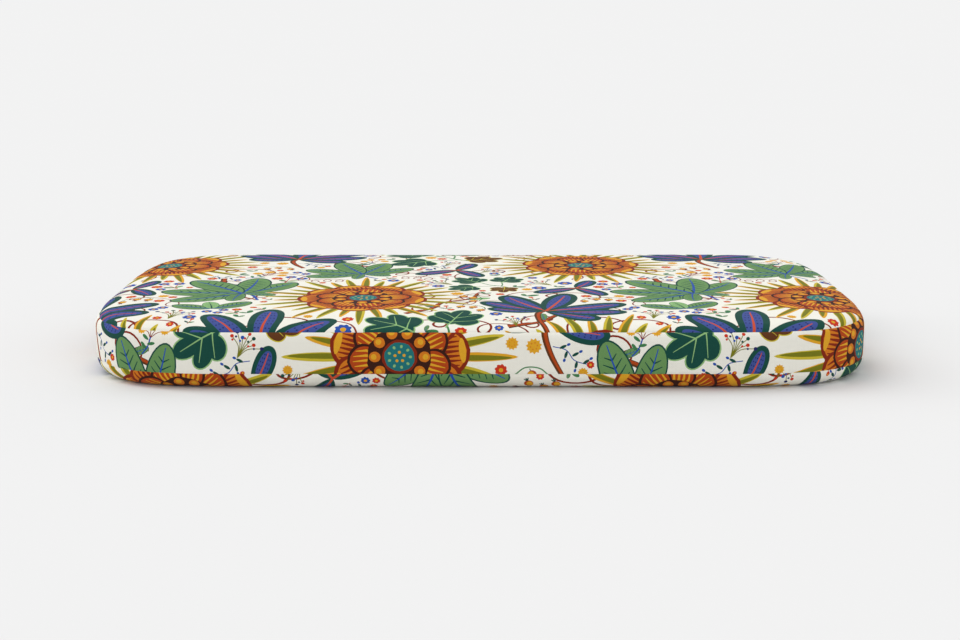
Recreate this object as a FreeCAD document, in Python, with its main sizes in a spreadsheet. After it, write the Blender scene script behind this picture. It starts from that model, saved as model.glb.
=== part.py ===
"""Kneeling pad: a two-layer foam slab in a boxed, cut-and-sewn fabric cover with a zip along the rear band.

Frame: millimetres, +Z up. The origin is the middle of the underside, X runs along the pad, and the zip is on
the +Y side.
"""

import FreeCAD, Part
import math
import os
import re

import Sketcher
from FreeCAD import Placement, Rotation, Vector

doc = FreeCAD.newDocument("kneeling_pad")

# ---------------------------------------------------------------- driving dimensions
DIMENSIONS = [
    ("pad_length", 450.0, "overall length, X"),
    ("pad_width", 240.0, "overall width, Y"),
    ("pad_height", 36.0, "overall height, Z"),
    ("corner_radius", 64.0, "plan radius of the four corners"),
    ("top_round", 9.5, "rounding of the upper edge"),
    ("bottom_round", 10.0, "rounding of the lower edge"),
    ("cover_thick", 1.2, "backed fabric of the cover"),
    ("top_seam_level", 32.4, "height of the seam under the top panel"),
    ("bottom_seam_level", 9.0, "height of the seam above the bottom panel"),
    ("foam_inset", 3.0, "outer face to foam round the sides, which leaves room for the seams"),
    ("foam_top_round", 9.0, "rounding of the comfort foam"),
    ("foam_bottom_round", 8.5, "rounding of the base foam"),
    ("foam_split_level", 25.2, "height where the two foams are bonded"),
    ("thread_thick", 0.5, "seam thread"),
    ("end_seam_low", 12.0, "height where the stitches that join the bands start"),
    ("end_seam_high", 26.4, "height where the stitches that join the bands end"),
    ("top_thread_inset", 4.05, "outer face to the thread of the top seam"),
    ("bottom_thread_inset", 1.45, "outer face to the thread of the bottom seam"),
    ("rear_half_length", 150.0, "middle of the pad to the end of the rear band strips"),
    ("rear_zone_depth", 6.0, "rear face to the front of the zone that holds the rear band"),
    ("tab_start", 143.0, "middle of the pad to the inner edge of a zip end tab"),
    ("zip_level", 20.0, "height of the zip's centre line"),
    ("zip_depth", 1.8, "rear face to the middle of the zip chain"),
    ("zip_opening", 10.6, "gap between the rear band strips"),
    ("tape_half_length", 148.0, "middle of the pad to the end of the zip tapes"),
    ("tape_thick", 0.6, "zip tape"),
    ("tape_edge", 3.0, "centre line of the zip to the inner edge of a tape"),
    ("tape_reach", 8.5, "centre line of the zip to the outer edge of a tape"),
    ("tooth_pitch", 2.9, "spacing of the teeth in one row"),
    ("tooth_thick", 1.8, "thickness of a tooth"),
    ("tooth_base_half", 0.9, "half of the width of a tooth's base"),
    ("tooth_neck_half", 0.45, "half of the width of a tooth's neck"),
    ("tooth_head_half", 0.62, "half of the width of a tooth's head"),
    ("tooth_tip_half", 0.37, "half of the width of a tooth's flat tip"),
    ("tooth_base_end", 1.2, "centre line of the zip to where the base meets the neck"),
    ("tooth_neck_end", 0.3, "centre line of the zip to where the neck starts to widen"),
    ("tooth_head_start", 0.1, "centre line of the zip to where the head is full width"),
    ("tooth_head_end", -0.45, "centre line of the zip to where the tip starts, past the line"),
    ("tooth_tip", -0.75, "centre line of the zip to the tip, past the line"),
    ("chain_start", -136.0, "X of the first tooth"),
    ("chain_end", 134.2, "X of the last tooth, inside the closed slider"),
    ("slider_place", 133.5, "X of the slider's middle when the zip is closed"),
    ("slider_half_length", 6.5, "half of the slider's length"),
    ("slider_half_width", 4.8, "half of the slider's width at its shoulders"),
    ("slider_shoulder", 3.25, "middle of the slider to its shoulders"),
    ("slider_nose_half_width", 3.36, "half of the slider's width at its nose"),
    ("slider_tail_half_width", 4.2, "half of the slider's width at its tail"),
    ("plate_thick", 1.0, "each plate of the slider"),
    ("cavity_height", 2.2, "room between the slider's plates"),
    ("cavity_half_width", 3.3, "half of the slider's channel"),
    ("tape_slot", 1.0, "slot in the slider's sides for the tape"),
    ("slot_start", 2.64, "middle of the slider to the inner end of that slot"),
    ("slot_reach", 9.6, "middle of the slider to the open end of that slot, outside the slider"),
    ("cut_reach", 7.5, "middle of the slider to the ends of its cuts, past its nose and tail"),
    ("wedge_half_width", 1.1, "half of the slider's wedge"),
    ("wedge_tip", 1.3, "middle of the slider to the tip of the wedge"),
    ("wedge_shoulder", 1.95, "middle of the slider to where the wedge is full width"),
    ("bridge_half_length", 4.2, "half of the length of the slider's bridge"),
    ("bridge_width", 2.0, "width of the slider's bridge"),
    ("bridge_height", 2.9, "height of the bridge above the slider"),
    ("bridge_wall", 0.8, "thickness of the bridge's strap"),
    ("bridge_root", 0.2, "how far the bridge's feet go into the slider's plate"),
    ("bridge_shoulder_length", 2.94, "half of the length of the bridge's flat top"),
    ("bridge_shoulder_height", 2.03, "height of the bridge's shoulders above the slider"),
    ("bridge_inner_length", 2.54, "half of the length of the flat under the bridge's top"),
    ("bridge_inner_height", 1.45, "height of the shoulders inside the bridge"),
    ("pull_length", 25.0, "pull tab, from its hinge"),
    ("pull_half_width", 3.4, "half of the pull tab's width"),
    ("pull_bar_radius", 0.6, "round bar that the pull tab swings on"),
    ("pull_arm_half_width", 2.55, "half of the width across the pull tab's arms"),
    ("pull_shoulder", 10.0, "hinge to where the pull tab is full width"),
    ("pull_end_half_width", 1.7, "half of the width of the pull tab's flat end"),
    ("pull_thick", 1.0, "thickness of the pull tab"),
    ("pull_lift", 0.6, "gap between the slider's face and the pull tab"),
    ("pull_window", 5.1, "hinge to the far end of the window that clears the bridge"),
    ("pull_arm_gap", 1.5, "half of the window's width"),
    ("relief_depth", 1.3, "groove in the base foam behind the slider"),
    ("relief_half_height", 5.2, "half of the height of that groove"),
    ("stop_length", 1.6, "each stop at the closed end of the zip"),
    ("stop_gap", 0.6, "slider's nose to the stops at the closed end"),
    ("stop_half_gap", 1.5, "centre line of the zip to the inner edge of such a stop"),
    ("topstitch_offset", 1.8, "edge of a rear band strip to its row of topstitching"),
    ("topstitch_proud", 0.3, "how far the topstitching stands out"),
]

sheet = doc.addObject("Spreadsheet::Sheet", "dimensions")
for row, (alias, value, meaning) in enumerate(DIMENSIONS, start=1):
    sheet.set(f"A{row}", alias)
    sheet.set(f"B{row}", str(value))
    sheet.set(f"C{row}", meaning)
    sheet.setAlias(f"B{row}", alias)
doc.recompute()

FAR = "600"  # a block that cuts all of the pad reaches this far from the origin
POINT_START, POINT_END = 1, 2  # Sketcher's numbers for the two ends of a line or arc
CIRCLE_CENTRE = 3  # Sketcher's number for the centre of a circle
ORIGIN_POINT = (-1, 1)  # Sketcher's numbers for the sketch's own origin
FLATNESS = 1e-6
CHAIN_Y = "pad_width / 2 - zip_depth"


def size(alias):
    """The value of a driving dimension."""
    return float(getattr(sheet, alias))


def value_of(expression):
    """The value of a sum of terms, each an alias or a number, with a sign and factors."""
    total = 0.0
    for term in expression.replace("- ", "+ -").split("+ "):
        term = term.strip()
        product = -1.0 if term.startswith("-") else 1.0
        for factor in term.lstrip("-").split(" * "):
            product *= size(factor.strip()) if "_" in factor else float(factor)
        total += product
    return total


def cell(expression):
    """An expression in plain aliases, turned into one that reads the sheet."""
    return re.sub(r"[a-z]+(_[a-z]+)+", lambda word: f"dimensions.{word.group()}", expression)


def bind(feature, prop, expression):
    """Binds a property to an expression in the sheet's aliases."""
    feature.setExpression(prop, cell(expression))


# ---------------------------------------------------------------- building blocks
def new_body(label):
    body = doc.addObject("PartDesign::Body", label)
    body.Label = label
    return body


def sketch_on(body, name, plane_role, offset=None):
    """A sketch on one of the body's own origin planes, at an offset along the plane's normal."""
    sketch = body.newObject("Sketcher::SketchObject", name)
    plane = [f for f in body.Origin.OriginFeatures if f.Role == plane_role][0]
    sketch.AttachmentSupport = [(plane, "")]
    sketch.MapMode = "FlatFace"
    if offset is not None:
        bind(sketch, "AttachmentOffset.Base.z", offset)
    return sketch


def constrain(sketch, kind, *values, expression=None):
    """Adds a constraint, bound to an expression where one is given."""
    index = sketch.addConstraint(Sketcher.Constraint(kind, *values))
    if expression is not None:
        sketch.setExpression(f"Constraints[{index}]", cell(expression))


def rounded_rectangle(sketch, inset):
    """A fully constrained rectangle with round corners, the pad's plan moved in by an inset."""
    inset_value = value_of(inset)
    half_x = size("pad_length") / 2 - inset_value
    half_y = size("pad_width") / 2 - inset_value
    radius = size("corner_radius") - inset_value
    first = sketch.GeometryCount
    corners = [(1, -1), (1, 1), (-1, 1), (-1, -1)]
    for i, (sx, sy) in enumerate(corners):
        centre = Vector(sx * (half_x - radius), sy * (half_y - radius), 0)
        start = math.radians(-90 + 90 * i)
        circle = Part.Circle(centre, Vector(0, 0, 1), radius)
        sketch.addGeometry(Part.ArcOfCircle(circle, start, start + math.pi / 2), False)
    ends = [
        ((half_x, -half_y + radius), (half_x, half_y - radius)),
        ((half_x - radius, half_y), (-half_x + radius, half_y)),
        ((-half_x, half_y - radius), (-half_x, -half_y + radius)),
        ((-half_x + radius, -half_y), (half_x - radius, -half_y)),
    ]
    for a, b in ends:
        sketch.addGeometry(Part.LineSegment(Vector(*a, 0), Vector(*b, 0)), False)
    arcs = [first + i for i in range(4)]
    lines = [first + 4 + i for i in range(4)]
    for i in range(4):
        constrain(sketch, "Tangent", arcs[i], POINT_END, lines[i], POINT_START)
        constrain(sketch, "Tangent", lines[i], POINT_END, arcs[(i + 1) % 4], POINT_START)
    constrain(sketch, "Vertical", lines[0])
    constrain(sketch, "Horizontal", lines[1])
    for i in range(1, 4):
        constrain(sketch, "Equal", arcs[0], arcs[i])
    constrain(sketch, "Radius", arcs[0], radius, expression=f"corner_radius - ({inset})")
    half_x_cell = f"pad_length / 2 - ({inset})"
    half_y_cell = f"pad_width / 2 - ({inset})"
    right, top, left, bottom = [(line, POINT_START) for line in lines]
    constrain(sketch, "DistanceX", *ORIGIN_POINT, *right, half_x, expression=half_x_cell)
    constrain(sketch, "DistanceX", *left, *ORIGIN_POINT, half_x, expression=half_x_cell)
    constrain(sketch, "DistanceY", *ORIGIN_POINT, *top, half_y, expression=half_y_cell)
    constrain(sketch, "DistanceY", *bottom, *ORIGIN_POINT, half_y, expression=half_y_cell)


def pad(body, sketch, length, name="pad", both_ways=False):
    """The sketch pushed out along its plane's normal, or half each way."""
    feature = body.newObject("PartDesign::Pad", name)
    feature.Profile = sketch
    bind(feature, "Length", length)
    feature.Midplane = both_ways
    return feature


def pocket(body, sketch, length, name):
    """A pocket that runs the same way as a pad of the same sketch would."""
    feature = body.newObject("PartDesign::Pocket", name)
    feature.Profile = sketch
    feature.Reversed = True
    bind(feature, "Length", length)
    return feature


def level_face(shape, level):
    """The name of the flat face at a height."""
    for i, face in enumerate(shape.Faces, start=1):
        box = face.BoundBox
        if box.ZLength < FLATNESS and abs(box.ZMin - level) < FLATNESS:
            return f"Face{i}"
    raise ValueError(f"no face at z = {level}")


def round_level(body, level, radius):
    """Rounds every edge of the flat face at a height."""
    doc.recompute()
    below = body.Tip
    feature = body.newObject("PartDesign::Fillet", "round")
    feature.Base = (below, [level_face(below.Shape, level)])
    bind(feature, "Radius", radius)
    doc.recompute()


def slab(label, inset, low, high, top=None, bottom=None):
    """A slab with the pad's plan moved in by an inset, between two heights, with rounded edges."""
    body = new_body(label)
    outline = sketch_on(body, "plan", "XY_Plane", low)
    rounded_rectangle(outline, inset)
    pad(body, outline, f"{high} - ({low})")
    doc.recompute()
    box = body.Shape.BoundBox
    if top is not None:
        round_level(body, box.ZMax, top)
    if bottom is not None:
        round_level(body, box.ZMin, bottom)
    return body


def block(label, low, high):
    """A box between two corners, each three expressions."""
    box = doc.addObject("Part::Box", label)
    box.Label = label
    for axis, name, a, b in zip("xyz", ("Length", "Width", "Height"), low, high):
        bind(box, f"Placement.Base.{axis}", a)
        bind(box, name, f"{b} - ({a})")
    return box


def boolean(kind, label, base, tool):
    """A Cut or Common of two objects."""
    feature = doc.addObject(f"Part::{kind}", label)
    feature.Label = label
    feature.Base, feature.Tool = base, tool
    return feature


def group(label, *members):
    """Several separate solids in one node."""
    feature = doc.addObject("Part::Compound", label)
    feature.Label = label
    feature.Links = list(members)
    return feature


def outline_through(sketch, corners):
    """A closed polygon whose corners are pairs of expressions, each corner bound to them."""
    first, count = sketch.GeometryCount, len(corners)
    points = [(value_of(x_cell), value_of(y_cell)) for x_cell, y_cell in corners]
    for i in range(count):
        a, b = points[i], points[(i + 1) % count]
        sketch.addGeometry(Part.LineSegment(Vector(*a, 0), Vector(*b, 0)), False)
    for i in range(count):
        constrain(sketch, "Coincident", first + i, POINT_END, first + (i + 1) % count, POINT_START)
    for i, (cells, values) in enumerate(zip(corners, points)):
        corner = (first + i, POINT_START)
        for kind, expression, value in zip(("DistanceX", "DistanceY"), cells, values):
            if value >= 0:
                constrain(sketch, kind, *ORIGIN_POINT, *corner, value, expression=expression)
            else:
                constrain(sketch, kind, *corner, *ORIGIN_POINT, -value, expression=f"-({expression})")


def both_signs(corners):
    """Half of an outline that is the same on both sides of the X axis, with its mirror image added."""
    return corners + [(x_cell, f"-{y_cell}") for x_cell, y_cell in reversed(corners)]


# ---------------------------------------------------------------- foam core
def make_foam():
    """A soft comfort layer bonded on a firm base layer, with room behind the zip's slider."""
    slab("comfort_foam", "foam_inset", "foam_split_level", "pad_height - cover_thick", top="foam_top_round")
    base = slab("base_foam_slab", "foam_inset", "cover_thick", "foam_split_level", bottom="foam_bottom_round")
    relief = block(
        "slider_relief",
        ("-tab_start", "pad_width / 2 - foam_inset - relief_depth", "zip_level - relief_half_height"),
        ("tab_start", "pad_width / 2", "zip_level + relief_half_height"),
    )
    boolean("Cut", "base_foam", base, relief)


# ---------------------------------------------------------------- cover
def make_cover():
    """The shell of fabric, cut along its seams into panels and bands."""
    outer = slab("cover_outside", "0", "0", "pad_height", "top_round", "bottom_round")
    inner = slab(
        "cover_inside",
        "cover_thick",
        "cover_thick",
        "pad_height - cover_thick",
        "top_round - cover_thick",
        "bottom_round - cover_thick",
    )
    shell = boolean("Cut", "cover_shell", outer, inner)
    low = ("-" + FAR, "-" + FAR)
    above = block("above_top_seam", (*low, "top_seam_level"), (FAR, FAR, FAR))
    below = block("below_bottom_seam", (*low, "-" + FAR), (FAR, FAR, "bottom_seam_level"))
    between = block("between_seams", (*low, "bottom_seam_level"), (FAR, FAR, "top_seam_level"))
    boolean("Common", "top_panel", shell, above)
    boolean("Common", "bottom_panel", shell, below)
    band = boolean("Common", "whole_band", shell, between)

    rear_low = ("-rear_half_length", "pad_width / 2 - rear_zone_depth", "0")
    rear_high = ("rear_half_length", "pad_width", "pad_height")
    rear = block("rear_zone", rear_low, rear_high)
    boolean("Cut", "front_band", band, rear)
    rear_band = boolean("Common", "rear_band", band, rear)
    upper_low = ("-rear_half_length", "0", "zip_level + zip_opening / 2")
    lower_high = ("rear_half_length", "pad_width", "zip_level - zip_opening / 2")
    upper = block("above_zip", upper_low, rear_high)
    lower = block("below_zip", ("-rear_half_length", "0", "0"), lower_high)
    boolean("Common", "rear_band_upper", rear_band, upper)
    boolean("Common", "rear_band_lower", rear_band, lower)
    for side, x_low, x_high in (
        ("left", "-rear_half_length", "-tab_start"),
        ("right", "tab_start", "rear_half_length"),
    ):
        zone = block(
            f"tab_zone_{side}",
            (x_low, "0", "zip_level - zip_opening / 2"),
            (x_high, "pad_width", "zip_level + zip_opening / 2"),
        )
        boolean("Common", f"zip_end_tab_{side}", rear_band, zone)


# ---------------------------------------------------------------- seams
def seam_ring(label, inset, level):
    """The lockstitch thread of a seam that runs all round the pad, as a thin square ring."""
    body = new_body(label)
    outline = sketch_on(body, "plan", "XY_Plane", f"{level} - thread_thick / 2")
    rounded_rectangle(outline, inset)
    rounded_rectangle(outline, f"{inset} + thread_thick")
    pad(body, outline, "thread_thick")


def make_threads():
    """The threads of the seams round the pad and at the ends of the rear band, and the topstitching."""
    seam_ring("top_seam_thread", "top_thread_inset", "top_seam_level")
    seam_ring("bottom_seam_thread", "bottom_thread_inset", "bottom_seam_level")
    ends = []
    for side, x in (("left", "-rear_half_length"), ("right", "rear_half_length")):
        low = (f"{x} - thread_thick / 2", "pad_width / 2 - cover_thick - thread_thick", "end_seam_low")
        high = (f"{x} + thread_thick / 2", "pad_width / 2 - cover_thick", "end_seam_high")
        ends.append(block(f"band_end_thread_{side}", low, high))
    group("band_end_threads", *ends)
    for name, sign in (("upper", "+"), ("lower", "-")):
        centre = f"zip_level {sign} (zip_opening / 2 + topstitch_offset)"
        block(
            f"zip_topstitch_{name}",
            ("-tab_start", "pad_width / 2", f"{centre} - thread_thick / 2"),
            ("tab_start", "pad_width / 2 + topstitch_proud", f"{centre} + thread_thick / 2"),
        )


# ---------------------------------------------------------------- zip
def make_tapes():
    """The two woven tapes, from the roots of the teeth to under the edges of the rear band."""
    for name, near, far in (("upper", "tape_edge", "tape_reach"), ("lower", "-tape_reach", "-tape_edge")):
        block(
            f"zip_tape_{name}",
            ("-tape_half_length", f"{CHAIN_Y} - tape_thick / 2", f"zip_level + ({near})"),
            ("tape_half_length", f"{CHAIN_Y} + tape_thick / 2", f"zip_level + ({far})"),
        )


def tooth(x, side):
    """One moulded tooth of the row on the +Z side (side 1) or the -Z side (side -1)."""
    half_outline = [
        (size("tooth_base_half"), size("tape_edge")),
        (size("tooth_base_half"), size("tooth_base_end")),
        (size("tooth_neck_half"), size("tooth_base_end")),
        (size("tooth_neck_half"), size("tooth_neck_end")),
        (size("tooth_head_half"), size("tooth_head_start")),
        (size("tooth_head_half"), size("tooth_head_end")),
        (size("tooth_tip_half"), size("tooth_tip")),
    ]
    outline = half_outline + [(-a, b) for a, b in reversed(half_outline)]
    y = size("pad_width") / 2 - size("zip_depth") - size("tooth_thick") / 2
    points = [Vector(x + a, y, size("zip_level") + side * b) for a, b in outline]
    face = Part.Face(Part.makePolygon(points + [points[0]]))
    return face.extrude(Vector(0, size("tooth_thick"), 0))


def make_teeth():
    """Two rows of teeth that interlock, half a pitch apart."""
    pitch = size("tooth_pitch")
    for name, side, shift in (("upper", 1, 0.0), ("lower", -1, pitch / 2)):
        row, x = [], size("chain_start") + shift
        while x <= size("chain_end"):
            row.append(tooth(x, side))
            x += pitch
        feature = doc.addObject("Part::Feature", f"zip_teeth_{name}")
        feature.Label = f"zip_teeth_{name}"
        feature.Shape = Part.makeCompound(row)
        feature.Placement = Placement()


def make_stops():
    """A pair of stops at the closed end of the chain, and one stop across its open end."""
    low_y, high_y = f"{CHAIN_Y} - tooth_thick / 2", f"{CHAIN_Y} + tooth_thick / 2"
    start = "slider_place + slider_half_length + stop_gap"
    end = f"{start} + stop_length"
    stops = []
    for name, low, high in (
        ("upper", "stop_half_gap", "tape_edge"),
        ("lower", "(-tape_edge)", "(-stop_half_gap)"),
    ):
        low_corner = (start, low_y, f"zip_level + {low}")
        high_corner = (end, high_y, f"zip_level + {high}")
        stops.append(block(f"zip_top_stop_{name}", low_corner, high_corner))
    group("zip_top_stops", *stops)
    block(
        "zip_bottom_stop",
        ("chain_start - 2 * stop_length", low_y, "zip_level - tape_edge"),
        ("chain_start - tooth_pitch / 2", high_y, "zip_level + tape_edge"),
    )


def outward(distance):
    """Offset that moves a sketch on the XZ plane by a distance along +Y: that plane's normal is -Y."""
    return f"-({distance})"


def make_slider():
    """The slider, about its own middle: two plates joined by a wedge, flanges, and a bridge for the pull."""
    body = new_body("zip_slider")
    shield = sketch_on(body, "shield", "XZ_Plane", outward("cavity_height / 2 + plate_thick"))
    half_shield = [
        ("-slider_half_length", "slider_tail_half_width"),
        ("slider_shoulder", "slider_half_width"),
        ("slider_half_length", "slider_nose_half_width"),
    ]
    outline_through(shield, both_signs(half_shield))
    pad(body, shield, "cavity_height + 2 * plate_thick", "plates")

    channel = sketch_on(body, "channel", "XZ_Plane", outward("cavity_height / 2"))
    half_channel = [
        ("-cut_reach", "cavity_half_width"),
        ("cut_reach", "cavity_half_width"),
        ("cut_reach", "wedge_half_width"),
        ("wedge_shoulder", "wedge_half_width"),
    ]
    wedge_point = [("wedge_tip", "0 * wedge_half_width")]
    mirrored = [(x_cell, f"-{z_cell}") for x_cell, z_cell in reversed(half_channel)]
    outline_through(channel, half_channel + wedge_point + mirrored)
    pocket(body, channel, "cavity_height", "channel_cut")

    slots = sketch_on(body, "slots", "XZ_Plane", outward("tape_slot / 2"))
    for sign in ("", "-"):
        inner, outer = f"{sign}slot_start", f"{sign}slot_reach"
        outline_through(
            slots, [("-cut_reach", inner), ("cut_reach", inner), ("cut_reach", outer), ("-cut_reach", outer)]
        )
    pocket(body, slots, "tape_slot", "slot_cut")

    arch = sketch_on(body, "arch", "XY_Plane")
    face = "0.5 * cavity_height + plate_thick"
    half_arch = [
        ("bridge_half_length - bridge_wall", f"{face} - bridge_root"),
        ("bridge_half_length", f"{face} - bridge_root"),
        ("bridge_half_length", f"{face} + bridge_shoulder_height"),
        ("bridge_shoulder_length", f"{face} + bridge_height"),
    ]
    half_inside = [
        ("bridge_inner_length", f"{face} + bridge_height - bridge_wall"),
        ("bridge_half_length - bridge_wall", f"{face} + bridge_inner_height"),
    ]
    opposite = {"bridge_half_length - bridge_wall": "-bridge_half_length + bridge_wall"}
    other_arch = [(opposite.get(x_cell, f"-{x_cell}"), y_cell) for x_cell, y_cell in half_arch]
    other_inside = [(opposite.get(x_cell, f"-{x_cell}"), y_cell) for x_cell, y_cell in half_inside]
    outline_through(arch, half_arch + other_arch[::-1] + other_inside[::-1] + half_inside)
    pad(body, arch, "bridge_width", "bridge", both_ways=True)
    place(body, "0")


def make_pull():
    """The pull tab, about its own hinge: two arms on a round bar, which join past the bridge in a tab."""
    body = new_body("zip_pull")
    outline = sketch_on(body, "tab", "XZ_Plane", outward("pull_thick / 2"))
    half_tab = [
        ("0 * pull_length", "pull_arm_half_width"),
        ("-pull_window", "pull_arm_half_width"),
        ("-pull_shoulder", "pull_half_width"),
        ("-pull_length + pull_half_width", "pull_half_width"),
        ("-pull_length", "pull_end_half_width"),
    ]
    outline_through(outline, both_signs(half_tab))
    pad(body, outline, "pull_thick", "tab_plate")
    window = sketch_on(body, "window", "XZ_Plane", outward("pull_thick"))
    half_window = [("pull_bar_radius", "pull_arm_gap"), ("-pull_window", "pull_arm_gap")]
    outline_through(window, both_signs(half_window))
    pocket(body, window, "2 * pull_thick", "window_cut")
    bar = sketch_on(body, "bar", "XY_Plane")
    circle = bar.addGeometry(Part.Circle(Vector(0, 0, 0), Vector(0, 0, 1), size("pull_bar_radius")), False)
    constrain(bar, "Coincident", circle, CIRCLE_CENTRE, *ORIGIN_POINT)
    constrain(bar, "Radius", circle, size("pull_bar_radius"), expression="pull_bar_radius")
    pad(body, bar, "2 * pull_arm_half_width", "hinge_bar", both_ways=True)
    place(body, "cavity_height / 2 + plate_thick + pull_lift + pull_thick / 2")


def place(body, lift):
    """Puts a body of the slider where the closed zip holds it."""
    body.Placement = Placement(Vector(0, 0, 0), Rotation())
    bind(body, "Placement.Base.x", "slider_place")
    bind(body, "Placement.Base.y", f"{CHAIN_Y} + {lift}")
    bind(body, "Placement.Base.z", "zip_level")


# ---------------------------------------------------------------- the whole pad
NODES = [
    "top_panel",
    "bottom_panel",
    "front_band",
    "rear_band_upper",
    "rear_band_lower",
    "zip_end_tab_left",
    "zip_end_tab_right",
    "comfort_foam",
    "base_foam",
    "top_seam_thread",
    "bottom_seam_thread",
    "band_end_threads",
    "zip_topstitch_upper",
    "zip_topstitch_lower",
    "zip_tape_upper",
    "zip_tape_lower",
    "zip_teeth_upper",
    "zip_teeth_lower",
    "zip_top_stops",
    "zip_bottom_stop",
    "zip_slider",
    "zip_pull",
]


def check_document():
    """Stops if recompute left any object failed."""
    failed = [o.Label for o in doc.Objects if {"Invalid", "Error"} & set(o.State)]
    if failed:
        raise RuntimeError(f"failed objects: {failed}")


def write_parts():
    """Writes one STEP file for each piece."""
    os.makedirs("parts", exist_ok=True)
    for name in NODES:
        shape = doc.getObjectsByLabel(name)[0].Shape
        if shape.isNull() or not shape.isValid():
            raise RuntimeError(f"{name} has no valid shape")
        box = shape.BoundBox
        print(
            f"{name:22s} solids {len(shape.Solids):3d}  volume {shape.Volume:11.1f} mm3  "
            f"z {box.ZMin:5.1f} to {box.ZMax:5.1f}"
        )
        shape.exportStep(f"parts/{name}.step")


make_foam()
make_cover()
make_threads()
make_tapes()
make_teeth()
make_stops()
make_slider()
make_pull()
doc.recompute()
check_document()
write_parts()
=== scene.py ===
"""Looks of the kneeling pad: a boxed cover of printed fabric over foam, with a zip along the rear band.

Lengths are in millimetres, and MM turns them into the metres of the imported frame. Only the
studio's are in metres.
"""

import math

import bpy
import numpy as np
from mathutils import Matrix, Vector
from mathutils.bvhtree import BVHTree
from mathutils.geometry import delaunay_2d_cdt


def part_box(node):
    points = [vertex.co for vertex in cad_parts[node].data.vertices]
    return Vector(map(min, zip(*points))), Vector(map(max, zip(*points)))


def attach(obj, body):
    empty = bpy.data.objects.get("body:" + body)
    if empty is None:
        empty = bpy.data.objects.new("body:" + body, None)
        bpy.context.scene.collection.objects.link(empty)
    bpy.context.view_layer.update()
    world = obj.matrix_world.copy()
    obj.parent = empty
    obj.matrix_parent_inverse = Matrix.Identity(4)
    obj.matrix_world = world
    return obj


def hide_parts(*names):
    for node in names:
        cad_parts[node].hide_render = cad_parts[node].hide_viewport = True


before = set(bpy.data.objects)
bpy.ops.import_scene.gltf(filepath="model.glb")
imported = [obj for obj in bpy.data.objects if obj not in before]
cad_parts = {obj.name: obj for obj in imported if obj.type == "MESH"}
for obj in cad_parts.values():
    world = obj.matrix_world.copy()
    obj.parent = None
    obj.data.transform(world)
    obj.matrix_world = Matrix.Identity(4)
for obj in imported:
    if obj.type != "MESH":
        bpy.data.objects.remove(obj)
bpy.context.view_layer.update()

MM = 0.001
TINY = 1e-9
RANDOM = np.random.default_rng(20)


def node_box(node):
    """Lowest and highest corner of a CAD node, in millimetres."""
    low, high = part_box(node)
    return np.array(low) / MM, np.array(high) / MM


def full_turn(count):
    """Angles evenly spaced round a circle."""
    return np.arange(count) * 2 * math.pi / count


def grid_of(x, y):
    """Every pair of an x and a y."""
    return np.stack(np.meshgrid(x, y), -1).reshape(-1, 2)


def unit(vectors):
    """Vectors in space, each made one long."""
    return vectors / np.maximum(np.linalg.norm(vectors, axis=1), TINY)[:, None]


# ---------------------------------------------------------------- sizes, from the frame
HALF_LENGTH, _, TOP_SEAM = node_box("front_band")[1]
HALF_WIDTH = -node_box("front_band")[0][1]
CORNER = np.array([HALF_LENGTH, HALF_WIDTH])
HEIGHT = node_box("top_panel")[1][2]
BOTTOM_SEAM = node_box("rear_band_lower")[0][2]
TOP_ROUND, BOTTOM_ROUND = 9.5, 10.0
FABRIC = 1.2
REAR_END = node_box("rear_band_upper")[1][0]
TAB_START, _, OPENING_LOW = node_box("zip_end_tab_right")[0]
OPENING_HIGH = node_box("zip_end_tab_right")[1][2]
ZIP_LEVEL = (OPENING_LOW + OPENING_HIGH) / 2

# ---------------------------------------------------------------- plan of the pad
# Each corner is three arcs that meet in line: gentle, tight, gentle.
CORNER_REACH = 84.5
GENTLE_RADIUS = 190.0
GENTLE_TURN = math.radians(12)
TURN_COS, TURN_SIN = math.cos(GENTLE_TURN), math.sin(GENTLE_TURN)
GENTLE_SHARE = GENTLE_RADIUS * (TURN_SIN + 1 - TURN_COS)
TIGHT_RADIUS = (CORNER_REACH - GENTLE_SHARE) / (TURN_COS - TURN_SIN)


def corner_centres():
    """Centres of the three arcs of the corner at +X +Y."""
    gap = GENTLE_RADIUS - TIGHT_RADIUS
    first = np.array([HALF_LENGTH - GENTLE_RADIUS, HALF_WIDTH - CORNER_REACH])
    second = first + gap * np.array([TURN_COS, TURN_SIN])
    third = second - gap * np.array([TURN_SIN, TURN_COS])
    return first, second, third


CENTRES = corner_centres()
TURNS = (0.0, GENTLE_TURN, math.pi / 2 - GENTLE_TURN, math.pi / 2)
RADII = (GENTLE_RADIUS, TIGHT_RADIUS, GENTLE_RADIUS)
ARC_LENGTHS = [radius * (TURNS[i + 1] - TURNS[i]) for i, radius in enumerate(RADII)]
END_RUN = HALF_WIDTH - CORNER_REACH
SIDE_RUN = HALF_LENGTH - CORNER_REACH
QUARTER = END_RUN + sum(ARC_LENGTHS) + SIDE_RUN
PERIMETER = 4 * QUARTER


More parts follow.
